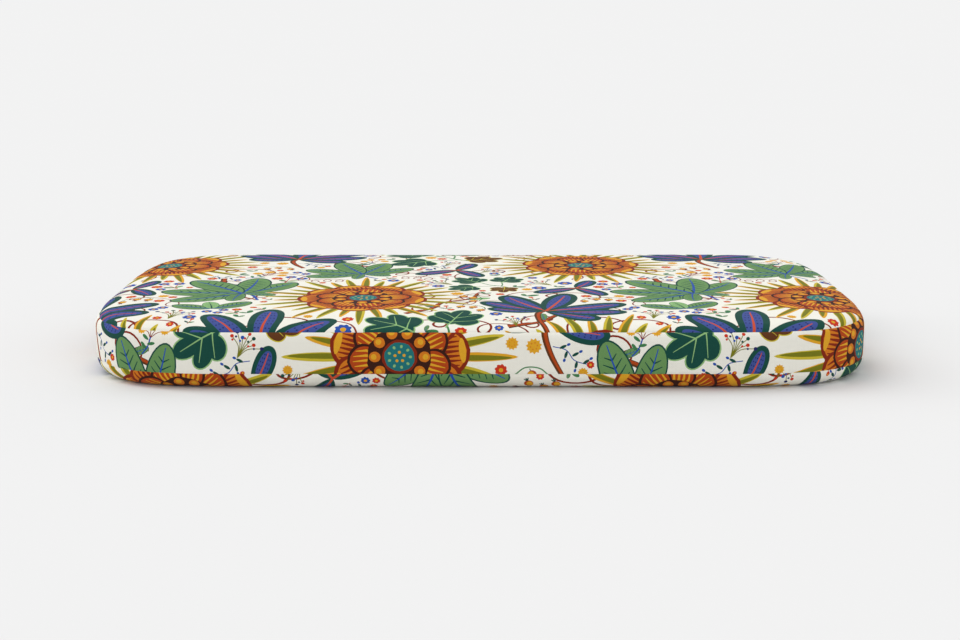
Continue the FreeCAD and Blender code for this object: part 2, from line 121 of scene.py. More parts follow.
def outline(s):
    """Points and outward normals of the plan at arc lengths s, from the middle of the front, towards +X."""
    s = np.mod(np.asarray(s, float), PERIMETER)
    quarter = np.minimum((s // QUARTER).astype(int), 3)
    run = s - quarter * QUARTER
    run = np.where(quarter % 2 == 0, QUARTER - run, run)  # from the middle of an end to the middle of a side
    x = np.full_like(run, HALF_LENGTH)
    y = run.copy()
    nx, ny = np.ones_like(run), np.zeros_like(run)
    start = END_RUN
    for i, (centre, radius, length) in enumerate(zip(CENTRES, RADII, ARC_LENGTHS)):
        on = run > start
        angle = TURNS[i] + (run - start) / radius
        nx, ny = np.where(on, np.cos(angle), nx), np.where(on, np.sin(angle), ny)
        x = np.where(on, centre[0] + radius * np.cos(angle), x)
        y = np.where(on, centre[1] + radius * np.sin(angle), y)
        start += length
    on = run > start
    x, y = np.where(on, SIDE_RUN - (run - start), x), np.where(on, HALF_WIDTH, y)
    nx, ny = np.where(on, 0.0, nx), np.where(on, 1.0, ny)
    sign_x = np.where(quarter < 2, 1.0, -1.0)
    sign_y = np.where((quarter == 0) | (quarter == 3), -1.0, 1.0)
    return np.stack([x * sign_x, y * sign_y], 1), np.stack([nx * sign_x, ny * sign_y], 1)


def outward(points):
    """Distance outside the plan, negative inside, and the outward normal, for points in the plan."""
    p = np.abs(points)
    sign = np.where(points < 0, -1.0, 1.0)
    distance = np.maximum(p[:, 0] - HALF_LENGTH, p[:, 1] - HALF_WIDTH)
    normal = np.stack([(p[:, 0] - HALF_LENGTH > p[:, 1] - HALF_WIDTH) * 1.0, np.zeros(len(p))], 1)
    normal[:, 1] = 1 - normal[:, 0]
    for i, (centre, radius) in enumerate(zip(CENTRES, RADII)):
        away = p - centre
        angle = np.arctan2(away[:, 1], away[:, 0])
        reach = np.hypot(away[:, 0], away[:, 1])
        on = (angle >= TURNS[i]) & (angle <= TURNS[i + 1]) & (reach > radius / 2)
        if i == 0:
            on &= p[:, 1] >= centre[1]
        if i == 2:
            on &= p[:, 0] >= centre[0]
        distance = np.where(on, reach - radius, distance)
        normal = np.where(on[:, None], away / np.maximum(reach, TINY)[:, None], normal)
    return distance, normal * sign


# ---------------------------------------------------------------- sections of the cover
SEAM_DEPTH, SEAM_WIDTH = 0.45, 0.8
FOLD = 0.7


def valley(distance):
    """How far the fabric dips beside a seam."""
    return SEAM_DEPTH * np.exp(-((distance / SEAM_WIDTH) ** 2))


TOP_SEAM_ANGLE = math.asin((TOP_SEAM - HEIGHT + TOP_ROUND) / TOP_ROUND)
BOTTOM_SEAM_ANGLE = math.asin((BOTTOM_ROUND - BOTTOM_SEAM) / BOTTOM_ROUND)
TOP_RUN = TOP_ROUND * (math.pi / 2 - TOP_SEAM_ANGLE)
BOTTOM_RUN = BOTTOM_ROUND * (math.pi / 2 - BOTTOM_SEAM_ANGLE)
UPPER_BEND = TOP_ROUND * TOP_SEAM_ANGLE
STRAIGHT = HEIGHT - TOP_ROUND - BOTTOM_ROUND
LOWER_BEND = BOTTOM_ROUND * BOTTOM_SEAM_ANGLE
BAND_RUN = UPPER_BEND + STRAIGHT + LOWER_BEND


def cap_section(run, radius, length):
    """Section of a cap at a run from where its bend starts: outward step, drop, and the normal."""
    angle = np.clip(run, 0, length) / radius
    return radius * np.sin(angle), radius * (1 - np.cos(angle)), np.sin(angle), np.cos(angle)


def band_section(run):
    """Section of the band at a run down from the top seam: outward step, height, and the section's normal."""
    upper = np.clip(run, 0, UPPER_BEND)
    lower = np.clip(run - UPPER_BEND - STRAIGHT, 0, LOWER_BEND)
    angle = TOP_SEAM_ANGLE - upper / TOP_ROUND - lower / BOTTOM_ROUND
    above = run < UPPER_BEND + STRAIGHT / 2
    radius = np.where(above, TOP_ROUND, BOTTOM_ROUND)
    centre = np.where(above, HEIGHT - TOP_ROUND, BOTTOM_ROUND)
    straight = np.clip(run - UPPER_BEND, 0, STRAIGHT)
    level = (run > UPPER_BEND) & (run < UPPER_BEND + STRAIGHT)
    height = np.where(level, HEIGHT - TOP_ROUND - straight, centre + radius * np.sin(angle))
    step = np.where(level, 0.0, radius * (np.cos(angle) - 1))
    return step, height, np.cos(angle), np.sin(angle)


def place_cap(cloth, top, depth=0.0):
    """Puts points of the top or bottom panel, given in its flat cloth, in space, depth inside the surface."""
    radius = TOP_ROUND if top else BOTTOM_ROUND
    length = TOP_RUN if top else BOTTOM_RUN
    distance, normal = outward(cloth)
    run = distance + radius
    step, drop, across, up = cap_section(run, radius, length)
    bent = run > 0
    flat = cloth - normal * np.where(bent, run, 0)[:, None]
    inside = valley(length - run) + depth
    plan = flat + normal * np.where(bent, step, 0)[:, None]
    plan = plan - normal * np.where(bent, inside * across, 0)[:, None]
    fall = np.where(bent, drop, 0) + np.where(bent, inside * up, depth)
    height = HEIGHT - fall if top else fall
    return np.column_stack([plan, height])


def folded(distance):
    """How far a folded edge curls in, at a distance from the fold."""
    share = 1 - np.clip(distance / FOLD, 0, 1)
    return FOLD * (1 - np.sqrt(1 - 0.98 * share**2))


def place_band(cloth, depth=0.0):
    """Puts points of the band, given as arc length and height of cloth below the top seam, in space."""
    point, normal = outline(cloth[:, 0])
    run = -cloth[:, 1]
    step, height, across, up = band_section(run)
    from_rear = np.abs(np.mod(cloth[:, 0], PERIMETER) - PERIMETER / 2)
    inside = valley(run) + valley(BAND_RUN - run) + valley(np.abs(from_rear - REAR_END)) + depth
    plan = point + normal * (step - inside * across)[:, None]
    return np.column_stack([plan, height - inside * up])


# ---------------------------------------------------------------- inks
def linear(*srgb):
    """An sRGB colour, each from 0 to 255, as linear light."""
    c = np.array(srgb) / 255
    return tuple(np.where(c <= 0.04045, c / 12.92, ((c + 0.055) / 1.055) ** 2.4))


SRGB_INKS = {
    "ground": (247, 245, 234), "orange": (214, 122, 34), "deep_orange": (180, 72, 26), "gold": (228, 168, 44),
    "rust": (136, 44, 22), "red": (206, 58, 34), "brown": (100, 58, 30), "dark_brown": (62, 32, 24),
    "olive": (124, 124, 30), "lime_edge": (206, 186, 56), "green": (108, 150, 92), "mid_green": (72, 134, 82),
    "dark_green": (26, 76, 66), "pale_green": (146, 190, 126), "teal": (36, 118, 122), "blue": (44, 84, 172),
    "violet": (66, 84, 152), "navy": (38, 42, 98), "coral": (204, 82, 52),
}
INK_NAMES = list(SRGB_INKS)
INK_COLOURS = np.array([linear(*srgb) + (1.0,) for srgb in SRGB_INKS.values()], np.float32)


# ---------------------------------------------------------------- materials
class Finish:
    """A node material, with short names for the nodes that it is built from."""

    def __init__(self, name):
        self.material = bpy.data.materials.new(name)
        self.material.use_nodes = True
        self.tree = self.material.node_tree
        self.shader = self.tree.nodes["Principled BSDF"]

    def feed(self, socket, value):
        """Gives an input a value, or a link from another socket."""
        if isinstance(value, bpy.types.NodeSocket):
            self.tree.links.new(value, socket)
        else:
            socket.default_value = value

    def node(self, kind, inputs=(), output=0, **settings):
        """One output of a new node."""
        made = self.tree.nodes.new("ShaderNode" + kind)
        for name, value in settings.items():
            setattr(made, name, value)
        for key, value in dict(inputs).items():
            self.feed(made.inputs[key], value)
        return made.outputs[output]

    def maths(self, operation, a, b=0.0):
        return self.node("Math", {0: a, 1: b}, operation=operation)

    def times(self, first, *others):
        """Numbers multiplied together."""
        for other in others:
            first = self.maths("MULTIPLY", first, other)
        return first

    def scaled(self, vector, *scale):
        """A vector times a number or times three numbers."""
        return self.node("VectorMath", {0: vector, 1: scale * (3 // len(scale))}, operation="MULTIPLY")

    def split(self, vector):
        """The x, y and z of a vector."""
        return self.node("SeparateXYZ", {0: vector}).node.outputs

    def attribute(self, name, output="Vector"):
        return self.node("Attribute", output=output, attribute_name=name)

    def place(self):
        """The place on the object, in millimetres."""
        return self.scaled(self.node("TexCoord", output="Object"), 1 / MM)

    def noise(self, vector, scale, detail=3.0, rough=0.5):
        inputs = {"Vector": vector, "Scale": scale, "Detail": detail, "Roughness": rough}
        return self.node("TexNoise", inputs, "Fac")

    def cells(self, vector, scale):
        return self.node("TexVoronoi", {"Vector": vector, "Scale": scale}, "Distance")

    def between(self, factor, low, high):
        """A number held to between 0 and 1, then spread between two others."""
        return self.node("MapRange", {"Value": factor, "To Min": low, "To Max": high}, "Result")

    def wave(self, turn):
        """A sine with more contrast, for between() to hold at its peaks and hollows."""
        return self.between(self.maths("SINE", turn), -0.5, 1.5)

    def coloured(self, colour, *tints):
        """Sets the colour, times tints: each is a number and the two that it is spread between."""
        tint = self.times(*(self.between(*tint) for tint in tints))
        shade = self.node("VectorMath", {0: colour, "Scale": tint}, operation="SCALE")
        self.tree.links.new(shade, self.shader.inputs["Base Color"])

    def surfaced(self, rough, height, depth, strength, **plain):
        """The material, once its roughness, its relief and the shader's plain values are set."""
        self.tree.links.new(self.between(*rough), self.shader.inputs["Roughness"])
        relief = {"Height": height, "Distance": depth * MM, "Strength": strength}
        self.tree.links.new(self.node("Bump", relief, "Normal"), self.shader.inputs["Normal"])
        return self.set(**plain)

    def set(self, **plain):
        """The material, once plain values of the shader are set."""
        for name, value in plain.items():
            self.shader.inputs[name.replace("_", " ")].default_value = value
        return self.material


PRINT_STRENGTH = 0.9
WEAVE_PITCH, THREAD_LAY, TAPE_RIB, TAPE_BAND = 0.62, 0.9, 0.7, 1.4


def printed_fabric():
    """Matt cotton canvas: ink from the piece's print, and threads in the flat cloth's own lengths, with
    painted shade in the hollows of the weave.
    """
    made = Finish("printed_canvas")
    cloth = made.attribute("cloth")
    across, along, _ = made.split(made.scaled(cloth, math.pi / WEAVE_PITCH))
    crossing = made.times(made.maths("SINE", across), made.maths("SINE", along))
    threads = made.between(made.maths("MULTIPLY_ADD", crossing, 0.5), -0.5, 1.5)
    slubs = made.noise(made.scaled(cloth, 0.12, 1.6, 1.0), 1.0, 2.0)
    warps = made.noise(made.scaled(cloth, 1.6, 0.12, 1.0), 1.0, 2.0)
    tone = made.noise(cloth, 0.035, 2.0)
    lint = made.noise(cloth, 2.6, 2.0, 0.7)
    # The threads tint is painted shade: the ink is made darker in the hollows of the weave and lighter on its
    # crests.
    made.coloured(
        made.attribute("print", "Color"), (threads, 0.955, 1.02), (slubs, 0.95, 1.05), (warps, 0.955, 1.045),
        (tone, 0.97 * PRINT_STRENGTH, 1.03 * PRINT_STRENGTH), (lint, 0.96, 1.04),
    )
    height = made.maths("ADD", threads, made.times(slubs, 0.8))
    gloss = {"Specular_IOR_Level": 0.08, "Sheen_Weight": 0.03, "Sheen_Roughness": 0.5}
    return made.surfaced((lint, 0.78, 0.94), height, 0.05, 0.6, **gloss)


def sewing_thread():
    """Two-ply polyester thread, twisted along its own length, with painted shade in the grooves between its
    plies.
    """
    made = Finish("sewing_thread")
    lay = made.attribute("lay")
    along, around, _ = made.split(lay)
    ply = made.wave(made.maths("ADD", made.times(along, 2 * math.pi / THREAD_LAY), around))
    fuzz = made.noise(made.scaled(lay, 3.0, 1.2, 1.0), 1.0)
    # The ply tint is painted shade: the grooves between the plies are made darker.
    made.coloured(linear(232, 226, 208), (ply, 0.86, 1.0), (fuzz, 0.92, 1.08))
    return made.surfaced((fuzz, 0.45, 0.7), ply, 0.08, 0.8)


def zip_tape():
    """Woven tape with a herringbone of fine ribs, with painted shade in the hollows between the ribs."""
    made = Finish("woven_tape")
    place = made.place()
    x, _, z = made.split(place)
    slant = made.maths("ADD", x, made.maths("PINGPONG", z, TAPE_BAND))
    rib = made.wave(made.times(slant, 2 * math.pi / TAPE_RIB))
    fibre = made.noise(made.scaled(place, 0.6, 1.0, 3.0), 1.0)
    # The rib tint is painted shade: the hollows between the ribs are made darker.
    made.coloured(linear(226, 219, 200), (rib, 0.84, 1.0), (fibre, 0.92, 1.08))
    return made.surfaced((fibre, 0.62, 0.86), rib, 0.1, 0.8)


def zip_plastic():
    """Moulded acetal, slightly uneven in gloss."""
    made = Finish("acetal")
    place = made.place()
    flow = made.noise(made.scaled(place, 0.5, 1.0, 1.0), 0.8)
    grain = made.noise(place, 6.0)
    made.coloured(linear(228, 222, 204), (flow, 0.93, 1.05))
    return made.surfaced((grain, 0.26, 0.44), grain, 0.02, 0.5)


def zip_metal():
    """Satin nickel, brushed along its length, with brighter rubbed spots."""
    made = Finish("satin_nickel")
    place = made.place()
    brush = made.noise(made.scaled(place, 0.35, 6.0, 6.0), 1.0, 4.0)
    rub = made.noise(place, 0.5)
    made.coloured(linear(166, 161, 151), (brush, 0.85, 1.1), (rub, 0.88, 1.1))
    return made.surfaced((brush, 0.2, 0.42), brush, 0.02, 0.5, Metallic=1.0)


def foam(name, colour, cell, depth, rough):
    """Cut foam: small open cells, an uneven tone, and a few larger pores, with painted shade in the pits of
    the cells and pores.
    """
    made = Finish(name)
    place = made.place()
    cells = made.cells(place, 1 / cell)
    pores = made.cells(place, 0.16 / cell)
    tone = made.noise(place, 0.03)
    # The cells and pores tints are painted shade: the colour is made darker in the pits of the cells and
    # pores.
    made.coloured(colour, (cells, 0.86, 1.06), (tone, 0.92, 1.06), (pores, 0.7, 1.15))
    height = made.maths("ADD", cells, made.times(pores, 0.5))
    return made.surfaced((cells, rough - 0.08, rough + 0.06), height, depth, 0.9)


MATERIALS = {
    "printed_fabric": printed_fabric(),
    "thread": sewing_thread(),
    "zip_tape": zip_tape(),
    "zip_teeth": zip_plastic(),
    "zip_metal": zip_metal(),
    "comfort_foam": foam("open_cell_foam", linear(232, 222, 186), 0.55, 0.3, 0.88),
    "base_foam": foam("closed_cell_foam", linear(176, 173, 164), 0.35, 0.12, 0.7),
}


# ---------------------------------------------------------------- shapes of the print
# A motif is a list of (ink, polygon), each drawn over the ones before it.
def oval(ink, x, y, rx, ry, count=16, wobble=0.03):
    """A slightly uneven oval."""
    angle = full_turn(count)
    r = 1 + wobble * RANDOM.uniform(-1, 1, count)
    return [(ink, np.stack([x + rx * r * np.cos(angle), y + ry * r * np.sin(angle)], 1))]


def star(ink, size, reaches):
    """An outline whose points are at these shares of its size from the middle."""
    angle, r = full_turn(len(reaches)), size * reaches
    return [(ink, np.stack([r * np.cos(angle), r * np.sin(angle)], 1))]


def moved(parts, x=0.0, y=0.0, turn=0.0, scale=1.0, flip=False):
    """A motif scaled, flipped, turned by an angle in degrees, and moved."""
    c, s = math.cos(math.radians(turn)), math.sin(math.radians(turn))
    spin = np.array([[c, s], [-s, c]])
    mirror = np.array([1.0, -1.0 if flip else 1.0])
    return [(ink, (polygon * mirror * scale) @ spin + (x, y)) for ink, polygon in parts]


def bent(parts, bend, length):
    """A motif along +X, bent so that it turns by an angle in degrees over a length."""
    if not bend:
        return parts
    radius = length / math.radians(bend)
    result = []
    for ink, p in parts:
        angle, reach = p[:, 0] / radius, radius - p[:, 1]
        result.append((ink, np.stack([reach * np.sin(angle), radius - reach * np.cos(angle)], 1)))
    return result


def ribbon(ink, points, widths):
    """A line with a width at each point, as short four-sided pieces."""
    points = np.asarray(points, float)
    widths = np.broadcast_to(np.asarray(widths, float), len(points))
    along = np.gradient(points, axis=0)
    along /= np.maximum(np.hypot(along[:, 0], along[:, 1]), TINY)[:, None]
    side = np.stack([-along[:, 1], along[:, 0]], 1) * widths[:, None] / 2
    left, right = points + side, points - side
    return [(ink, piece) for piece in np.stack([left[:-1], right[:-1], right[1:], left[1:]], 1)]


def curve_through(points, steps=8):
    """A smooth line through points."""
    p = np.asarray(points, float)
    p = np.vstack([2 * p[0] - p[1], p, 2 * p[-1] - p[-2]])
    t = np.linspace(0, 1, steps, endpoint=False)[:, None]
    spans = []
    for a, b, c, d in zip(p, p[1:], p[2:], p[3:]):
        cubic = 2 * b + (c - a) * t + (2 * a - 5 * b + 4 * c - d) * t**2 + (3 * b - a - 3 * c + d) * t**3
        spans.append(0.5 * cubic)
    return np.vstack(spans + [p[-2:-1]])


def stalk(ink, points, width, tip=None, steps=8, shift=(0, 0)):
    """A smooth line through points, that may narrow to its tip."""
    line = curve_through(points, steps) + shift
    return ribbon(ink, line, np.linspace(width, tip or width, len(line)))


def leaf(ink, length, width, count=15, widest=0.5, inset=0.0, point=0.54):
    """A plain leaf along +X from its stalk. point is 0.5 for round ends, and more for pointed ones."""
    t = (1 - np.cos(np.linspace(0, math.pi, count))) / 2
    share = t ** (math.log(0.5) / math.log(widest))
    half = (width / 2 - inset) * (4 * share * (1 - share)) ** point
    x = inset * 1.2 + t * (length - 2.4 * inset)
    upper, lower = np.stack([x, half], 1), np.stack([x, -half], 1)
    return [(ink, np.concatenate([upper, lower[-2:0:-1]]))]


def midrib(ink, length, width, start, end, root, tip):
    """The rib along a leaf, its places as shares of the length and its widths as shares of the width."""
    spine = np.stack([np.linspace(length * start, length * end, 5), np.zeros(5)], 1)
    return ribbon(ink, spine, np.linspace(width * root, width * tip, 5))


GREEN_LEAF = ("dark_green", "green", "dark_green", "blue")
FRESH_LEAF = ("mid_green", "pale_green", "mid_green", "dark_green")
DARK_LEAF = ("dark_green", "mid_green", "dark_green", "dark_green")


def ribbed_leaf(length, width, colours, bend=0.0, ribs=6):
    """A leaf with an outline, a midrib and side veins. colours are edge, body, vein and midrib."""
    edge, body, vein, spine = colours
    parts = leaf(edge, length, width, widest=0.55)
    parts += leaf(body, length, width, widest=0.55, inset=width * 0.05)
    for i in range(ribs):
        t = 0.14 + 0.7 * i / ribs
        reach = width * 0.36 * math.sin(math.pi * min(1.0, t * 1.12 + 0.08)) ** 0.6
        for side in (1, -1):
            tip = (length * t + reach * 0.85, side * reach)
            parts += ribbon(vein, [(length * t, 0), tip], [width * 0.055, width * 0.025])
    return bent(parts + midrib(spine, length, width, -0.02, 0.93, 0.1, 0.03), bend, length)


def green_leaf(length, width, bend=0.0):
    return ribbed_leaf(length, width, GREEN_LEAF, bend)


def dotted_leaf(length, width, bend=0.0):
    """A violet leaf with a broad dark edge, a coral midrib and rows of dots."""
    parts = leaf("dark_green", length, width, 19, 0.58, 0.0, 0.48)
    parts += leaf("violet", length, width, 19, 0.58, width * 0.21, 0.48)
    for row in range(1, 8):
        t = 0.16 + 0.09 * row
        half = width * 0.25 * math.sin(math.pi * min(1.0, t * 1.05)) ** 0.7
        for side in (1, -1):
            for share in (0.45, 0.9):
                parts += oval("navy", length * t, side * half * share, width * 0.036, width * 0.028, 7)
    return bent(parts + midrib("coral", length, width, 0, 0.84, 0.11, 0.035), bend, length)


def fan(make, *leaves):
    """Leaves that spread from one point, each given as its direction, length, width and bend."""
    parts = []
    for angle, length, width, bend in leaves:
        parts += moved(make(length, width, bend), turn=angle)
    return parts


def green_fan():
    """Six broad ribbed leaves and a small one beside the stalk."""
    parts = stalk("blue", [(0, 4), (2, -8), (-3, -24)], 2.6, 1.6, 4)
    return parts + fan(
        green_leaf, (186, 46, 19, -26), (0, 45, 19, 26), (218, 24, 12, 18), (142, 50, 21, -14),
        (40, 49, 21, 16), (90, 54, 23, 8), (312, 22, 10, -14),
    )


def violet_fan():
    """Seven round-ended dotted leaves, the outer ones drooping."""
    stem = [(0, 4), (-2, -8), (3, -20), (12, -32)]
    parts = stalk("brown", stem, 4.4, 2.8, 4) + stalk("deep_orange", stem, 2.2, 1.2, 4, (0.4, 0))
    return parts + fan(
        dotted_leaf, (204, 34, 14, -30), (-24, 35, 14, 30), (176, 45, 16, -20), (8, 46, 16, 20),
        (146, 50, 18, -14), (38, 51, 18, 14), (92, 52, 19, 6),
    )


def violet_trio():
    """Three large dotted leaves side by side."""
    return fan(dotted_leaf, (168, 46, 20, -10), (12, 40, 18, 14), (262, 44, 19, -12))


def green_pair():
    """Two broad ribbed leaves on one stalk, with a fresh one between them."""
    parts = fan(green_leaf, (150, 40, 20, -14), (24, 42, 21, 16))
    return parts + moved(ribbed_leaf(30, 15, FRESH_LEAF, 10, 5), turn=86)


def ring_of(count, piece, start=0.0):
    """Copies of a motif around the origin."""
    parts = []
    for i in range(count):
        parts += moved(piece(i), turn=start + 360 * i / count)
    return parts


def petal(reach, width, root, edge, body, streak, streaks):
    """A round-ended petal along +X from root to reach, with streaks along it."""
    def shape(ink, share_of_reach, share_of_width):
        t = 1 - (1 - np.linspace(0, 1, 11)) ** 1.3
        half = width / 2 * share_of_width * np.sin(math.pi * (0.16 + 0.84 * t) ** 1.25) ** 0.55
        half[-1] = 0
        x = root + (reach * share_of_reach - root) * t
        return [(ink, np.concatenate([np.stack([x, half], 1), np.stack([x, -half], 1)[-2::-1]]))]

    parts = shape(edge, 1.0, 1.0) + shape(body, 0.95, 0.84)
    for i in range(streaks):
        side = (i - (streaks - 1) / 2) / (streaks - 1)
        far = root + (reach - root) * (0.82 - 0.5 * side * side)
        near = root + (reach - root) * 0.06
        middle = ((near + far) / 2, side * width * 0.58)
        line = [(near, side * width * 0.34), middle, (far, side * width * 0.6)]
        parts += ribbon(streak, line, [width * 0.085, width * 0.07, width * 0.02])
    return parts


def bloom():
    """A round many-petalled flower on a ring of narrow pointed leaves."""
    def ray(i):
        reach = 46 - 6 * (i % 3)
        edge = leaf("lime_edge" if i % 2 else "gold", reach, 5.4, 9, 0.48, 0.0, 0.62)
        return moved(edge, 19) + moved(leaf("olive", reach - 3, 3.2, 9, 0.48, 0.0, 0.62), 19, -0.5)

    def bead(i):
        return oval("orange", 13.6, 0, 3.2, 3.0, 14) + oval("gold", 14.2, 0, 1.6, 1.7, 10)

    parts = ring_of(30, ray)
    parts += ring_of(9, lambda i: petal(39, 27, 17, "rust", "orange", "rust", 7), 6)
    parts += ring_of(9, lambda i: oval("gold", 34.6, 0, 1.9, 7.0, 14), 6)
    parts += ring_of(9, lambda i: petal(29, 19, 11, "dark_brown", "deep_orange", "gold", 5), 26)
    parts += oval("dark_brown", 0, 0, 17.5, 17.5, 30, 0.05)
    parts += ring_of(10, bead)
    parts += oval("rust", 0, 0, 9.8, 9.8, 22) + oval("teal", 0, 0, 8.3, 8.3, 20)
    parts += ring_of(9, lambda i: oval("pale_green", 5.9, 0, 1.0, 0.8, 6))
    return parts + ring_of(5, lambda i: oval("gold", 2.6, 0, 0.9, 0.9, 6), 20)


def lobed_leaf(size, body="dark_green", edge="pale_green"):
    """A leaf with five round lobes, pale veins and a thin pale edge, along +X from its stalk."""
    lobes = ((0.30, 0.26, 0.22, 0.17, 62), (0.30, -0.26, 0.22, 0.17, -62), (0.58, 0.27, 0.23, 0.15, 30),
             (0.58, -0.27, 0.23, 0.15, -30), (0.74, 0.0, 0.27, 0.17, 0), (0.40, 0.0, 0.3, 0.17, 0))
    parts = []
    for ink, grow in ((edge, 0.025), (body, 0.0)):
        for x, y, rx, ry, turn in lobes:
            lobe = oval(ink, 0, 0, (rx + grow) * size, (ry + grow) * size, 22, 0.01)
            parts += moved(lobe, x * size, y * size, turn)
    veins = [([(-0.05, 0), (0.45, 0.01), (0.88, 0)], [0.035, 0.026, 0.01])]
    for root, x, y in ((0.22, 0.42, 0.4), (0.42, 0.7, 0.33)):
        veins += [([(root, 0), (x, side * y)], [0.024, 0.01]) for side in (1, -1)]
    for line, widths in veins:
        parts += ribbon(edge, np.array(line) * size, np.array(widths) * size)
    return parts


def lobed_sprig():
    """Three lobed leaves and a brown one on a forked stem."""
    parts = stalk("mid_green", [(0, -24), (1, -12), (-1, 0), (2, 12)], 1.8, 1.1)
    parts += stalk("mid_green", [(0, -14), (9, -8), (15, -2)], 1.2)
    parts += stalk("mid_green", [(0, -8), (-9, -2), (-14, 4)], 1.2)
    for size, x, y, turn in ((34, 2, 11, 84), (32, 14, -3, 20), (31, -13, 3, 160)):
        parts += moved(lobed_leaf(size), x, y, turn)
    return parts + moved(lobed_leaf(27, "brown", "lime_edge"), 1, -17, 215)


def daisy(size=5.0, ink="blue"):
    """A small flower with notched petals and a golden eye."""
    return star(ink, size, np.tile([0.8, 1.0, 0.94], 8)) + oval("gold", 0, 0, 0.34 * size, 0.34 * size, 10)


def pompon():
    """A fluffy yellow flower."""
    size = 4.6
    fluff = star("gold", size, np.tile([0.76, 1.0], 11))
    return fluff + ring_of(6, lambda i: oval("orange", 0.42 * size, 0, 0.1 * size, 0.1 * size, 5))


def daisy_sprig():
    """Three small flowers on thin stalks with two little leaves."""
    heads = ((-9, 9, "blue"), (1, 14, "blue"), (10, 7, "red"))
    parts = []
    for x, y, _ in heads:
        parts += stalk("coral", [(0, -8), (x * 0.25, 0), (x, y)], 0.8, steps=5)
    for angle, inks in ((40, GREEN_LEAF), (150, FRESH_LEAF)):
        parts += moved(ribbed_leaf(9, 4, inks, ribs=3), 0, -4, angle)
    for x, y, ink in heads:
        parts += moved(daisy(4.8, ink), x, y)
    return parts


def pompon_sprig():
    """Yellow pompons on a blue stem with small dark leaves."""
    heads = ((-9, 7), (-2, 15), (8, 10), (11, 0))
    parts = []
    for x, y in heads:
        parts += stalk("rust", [(0, -4), (x * 0.4, y * 0.3), (x, y)], 0.7, steps=5)
    parts += stalk("blue", [(3, -20), (0, -12), (0, -3)], 1.2, steps=5)
    for y, angle in ((-14, 35), (-10, 150), (-6, 20)):
        parts += moved(ribbed_leaf(7, 2.8, DARK_LEAF, ribs=2), 1, y, angle)
    for x, y in heads:
        parts += moved(pompon(), x, y)
    return parts


def berry_sprig():
    """A fan of thin stalks that end in berries."""
    parts = []
    inks = ("red", "navy", "blue", "red", "dark_green", "red", "navy")
    for i, ink in enumerate(inks):
        angle = math.radians(35 + 110 * i / (len(inks) - 1))
        reach = 15 + 3 * math.sin(i * 2.3)
        x, y = reach * math.cos(angle), reach * math.sin(angle)
        parts += stalk("olive", [(0, -6), (x * 0.3, y * 0.4), (x, y)], 0.7, steps=4)
        parts += oval(ink, x, y, 1.6, 1.6, 12) + oval(ink, x * 0.72 + 1.6, y * 0.7, 1.0, 1.0, 9)
    return parts


def fruit_sprig():
    """Golden fruits with small green crowns on a curved stalk."""
    parts = stalk("mid_green", [(-13, 5), (-2, 8), (9, 3), (14, -6)], 1.1)
    for x, y in ((-10, -1), (1, 0), (11, -10)):
        parts += ribbon("mid_green", [(x, y), (x, y + 6)], 0.8)
        parts += oval("deep_orange", x, y, 4.0, 4.2, 14) + oval("gold", x - 0.7, y + 0.5, 2.8, 3.1, 12)
        for angle in (-60, -90, -120):
            parts += moved(leaf("dark_green", 4.2, 1.3, 4), x, y - 3.4, angle)
    return parts


def tendril(loops=3, reach=34.0):
    """A thin vine that curls over itself."""
    curl = 6.2
    t = np.linspace(0, 1, 14 * loops + 8)
    x = reach * t + curl * np.sin(2 * math.pi * loops * t)
    y = curl * np.cos(2 * math.pi * loops * t) - curl + 4 * np.sin(math.pi * t)
    return ribbon("rust", np.stack([x, y], 1), 1.15)


def branch():
    """A thick orange-brown branch with thin vines and two small leaves."""
    line = [(-34, 6), (-16, 0), (2, 3), (20, -5), (36, -1)]
    parts = tendril(3, 40) + moved(tendril(2, 26), -30, 4, 12)
    parts += stalk("brown", line, 4.0, 2.4) + stalk("deep_orange", line, 2.1, 1.0, shift=(0, 0.4))
    parts += moved(ribbed_leaf(14, 6, FRESH_LEAF, 12, 4), 18, -4, -52)
    return parts + moved(ribbed_leaf(12, 5, GREEN_LEAF, -12, 4), -12, 1, 62)


def spray():
    """Small blue buds and leaves along a curved stalk."""
    parts = stalk("blue", [(-16, -4), (-6, 2), (5, 1), (16, 7)], 0.8)
    for x, y, angle in ((-11, -1, 70), (-5, 2, -60), (1, 2, 75), (7, 2, -55), (12, 4, 80)):
        parts += moved(leaf("dark_green", 6.5, 2.6, 6) + oval("blue", 8.2, 0, 1.7, 1.2, 8), x, y, angle)
    return parts + moved(daisy(3.4, "red"), 17, 8)


def bud():
    """One bud on a short stalk with two leaves."""
    parts = ribbon("coral", [(0, -5), (0.6, 0), (0, 4)], 0.8)
    for angle, ink in ((35, "mid_green"), (148, "dark_green")):
        parts += moved(leaf(ink, 5.5, 2.2, 6), 0, -3.5, angle)
    return parts + oval("red", 0, 5, 1.9, 2.3, 9) + oval("gold", 0, 5.6, 0.8, 1.0, 6)


def seedling():
    """Two little leaves."""
    large, small = ribbed_leaf(9, 4.2, DARK_LEAF, 10, 3), ribbed_leaf(7, 3.2, GREEN_LEAF, -10, 2)
    return moved(large, turn=25) + moved(small, turn=110)


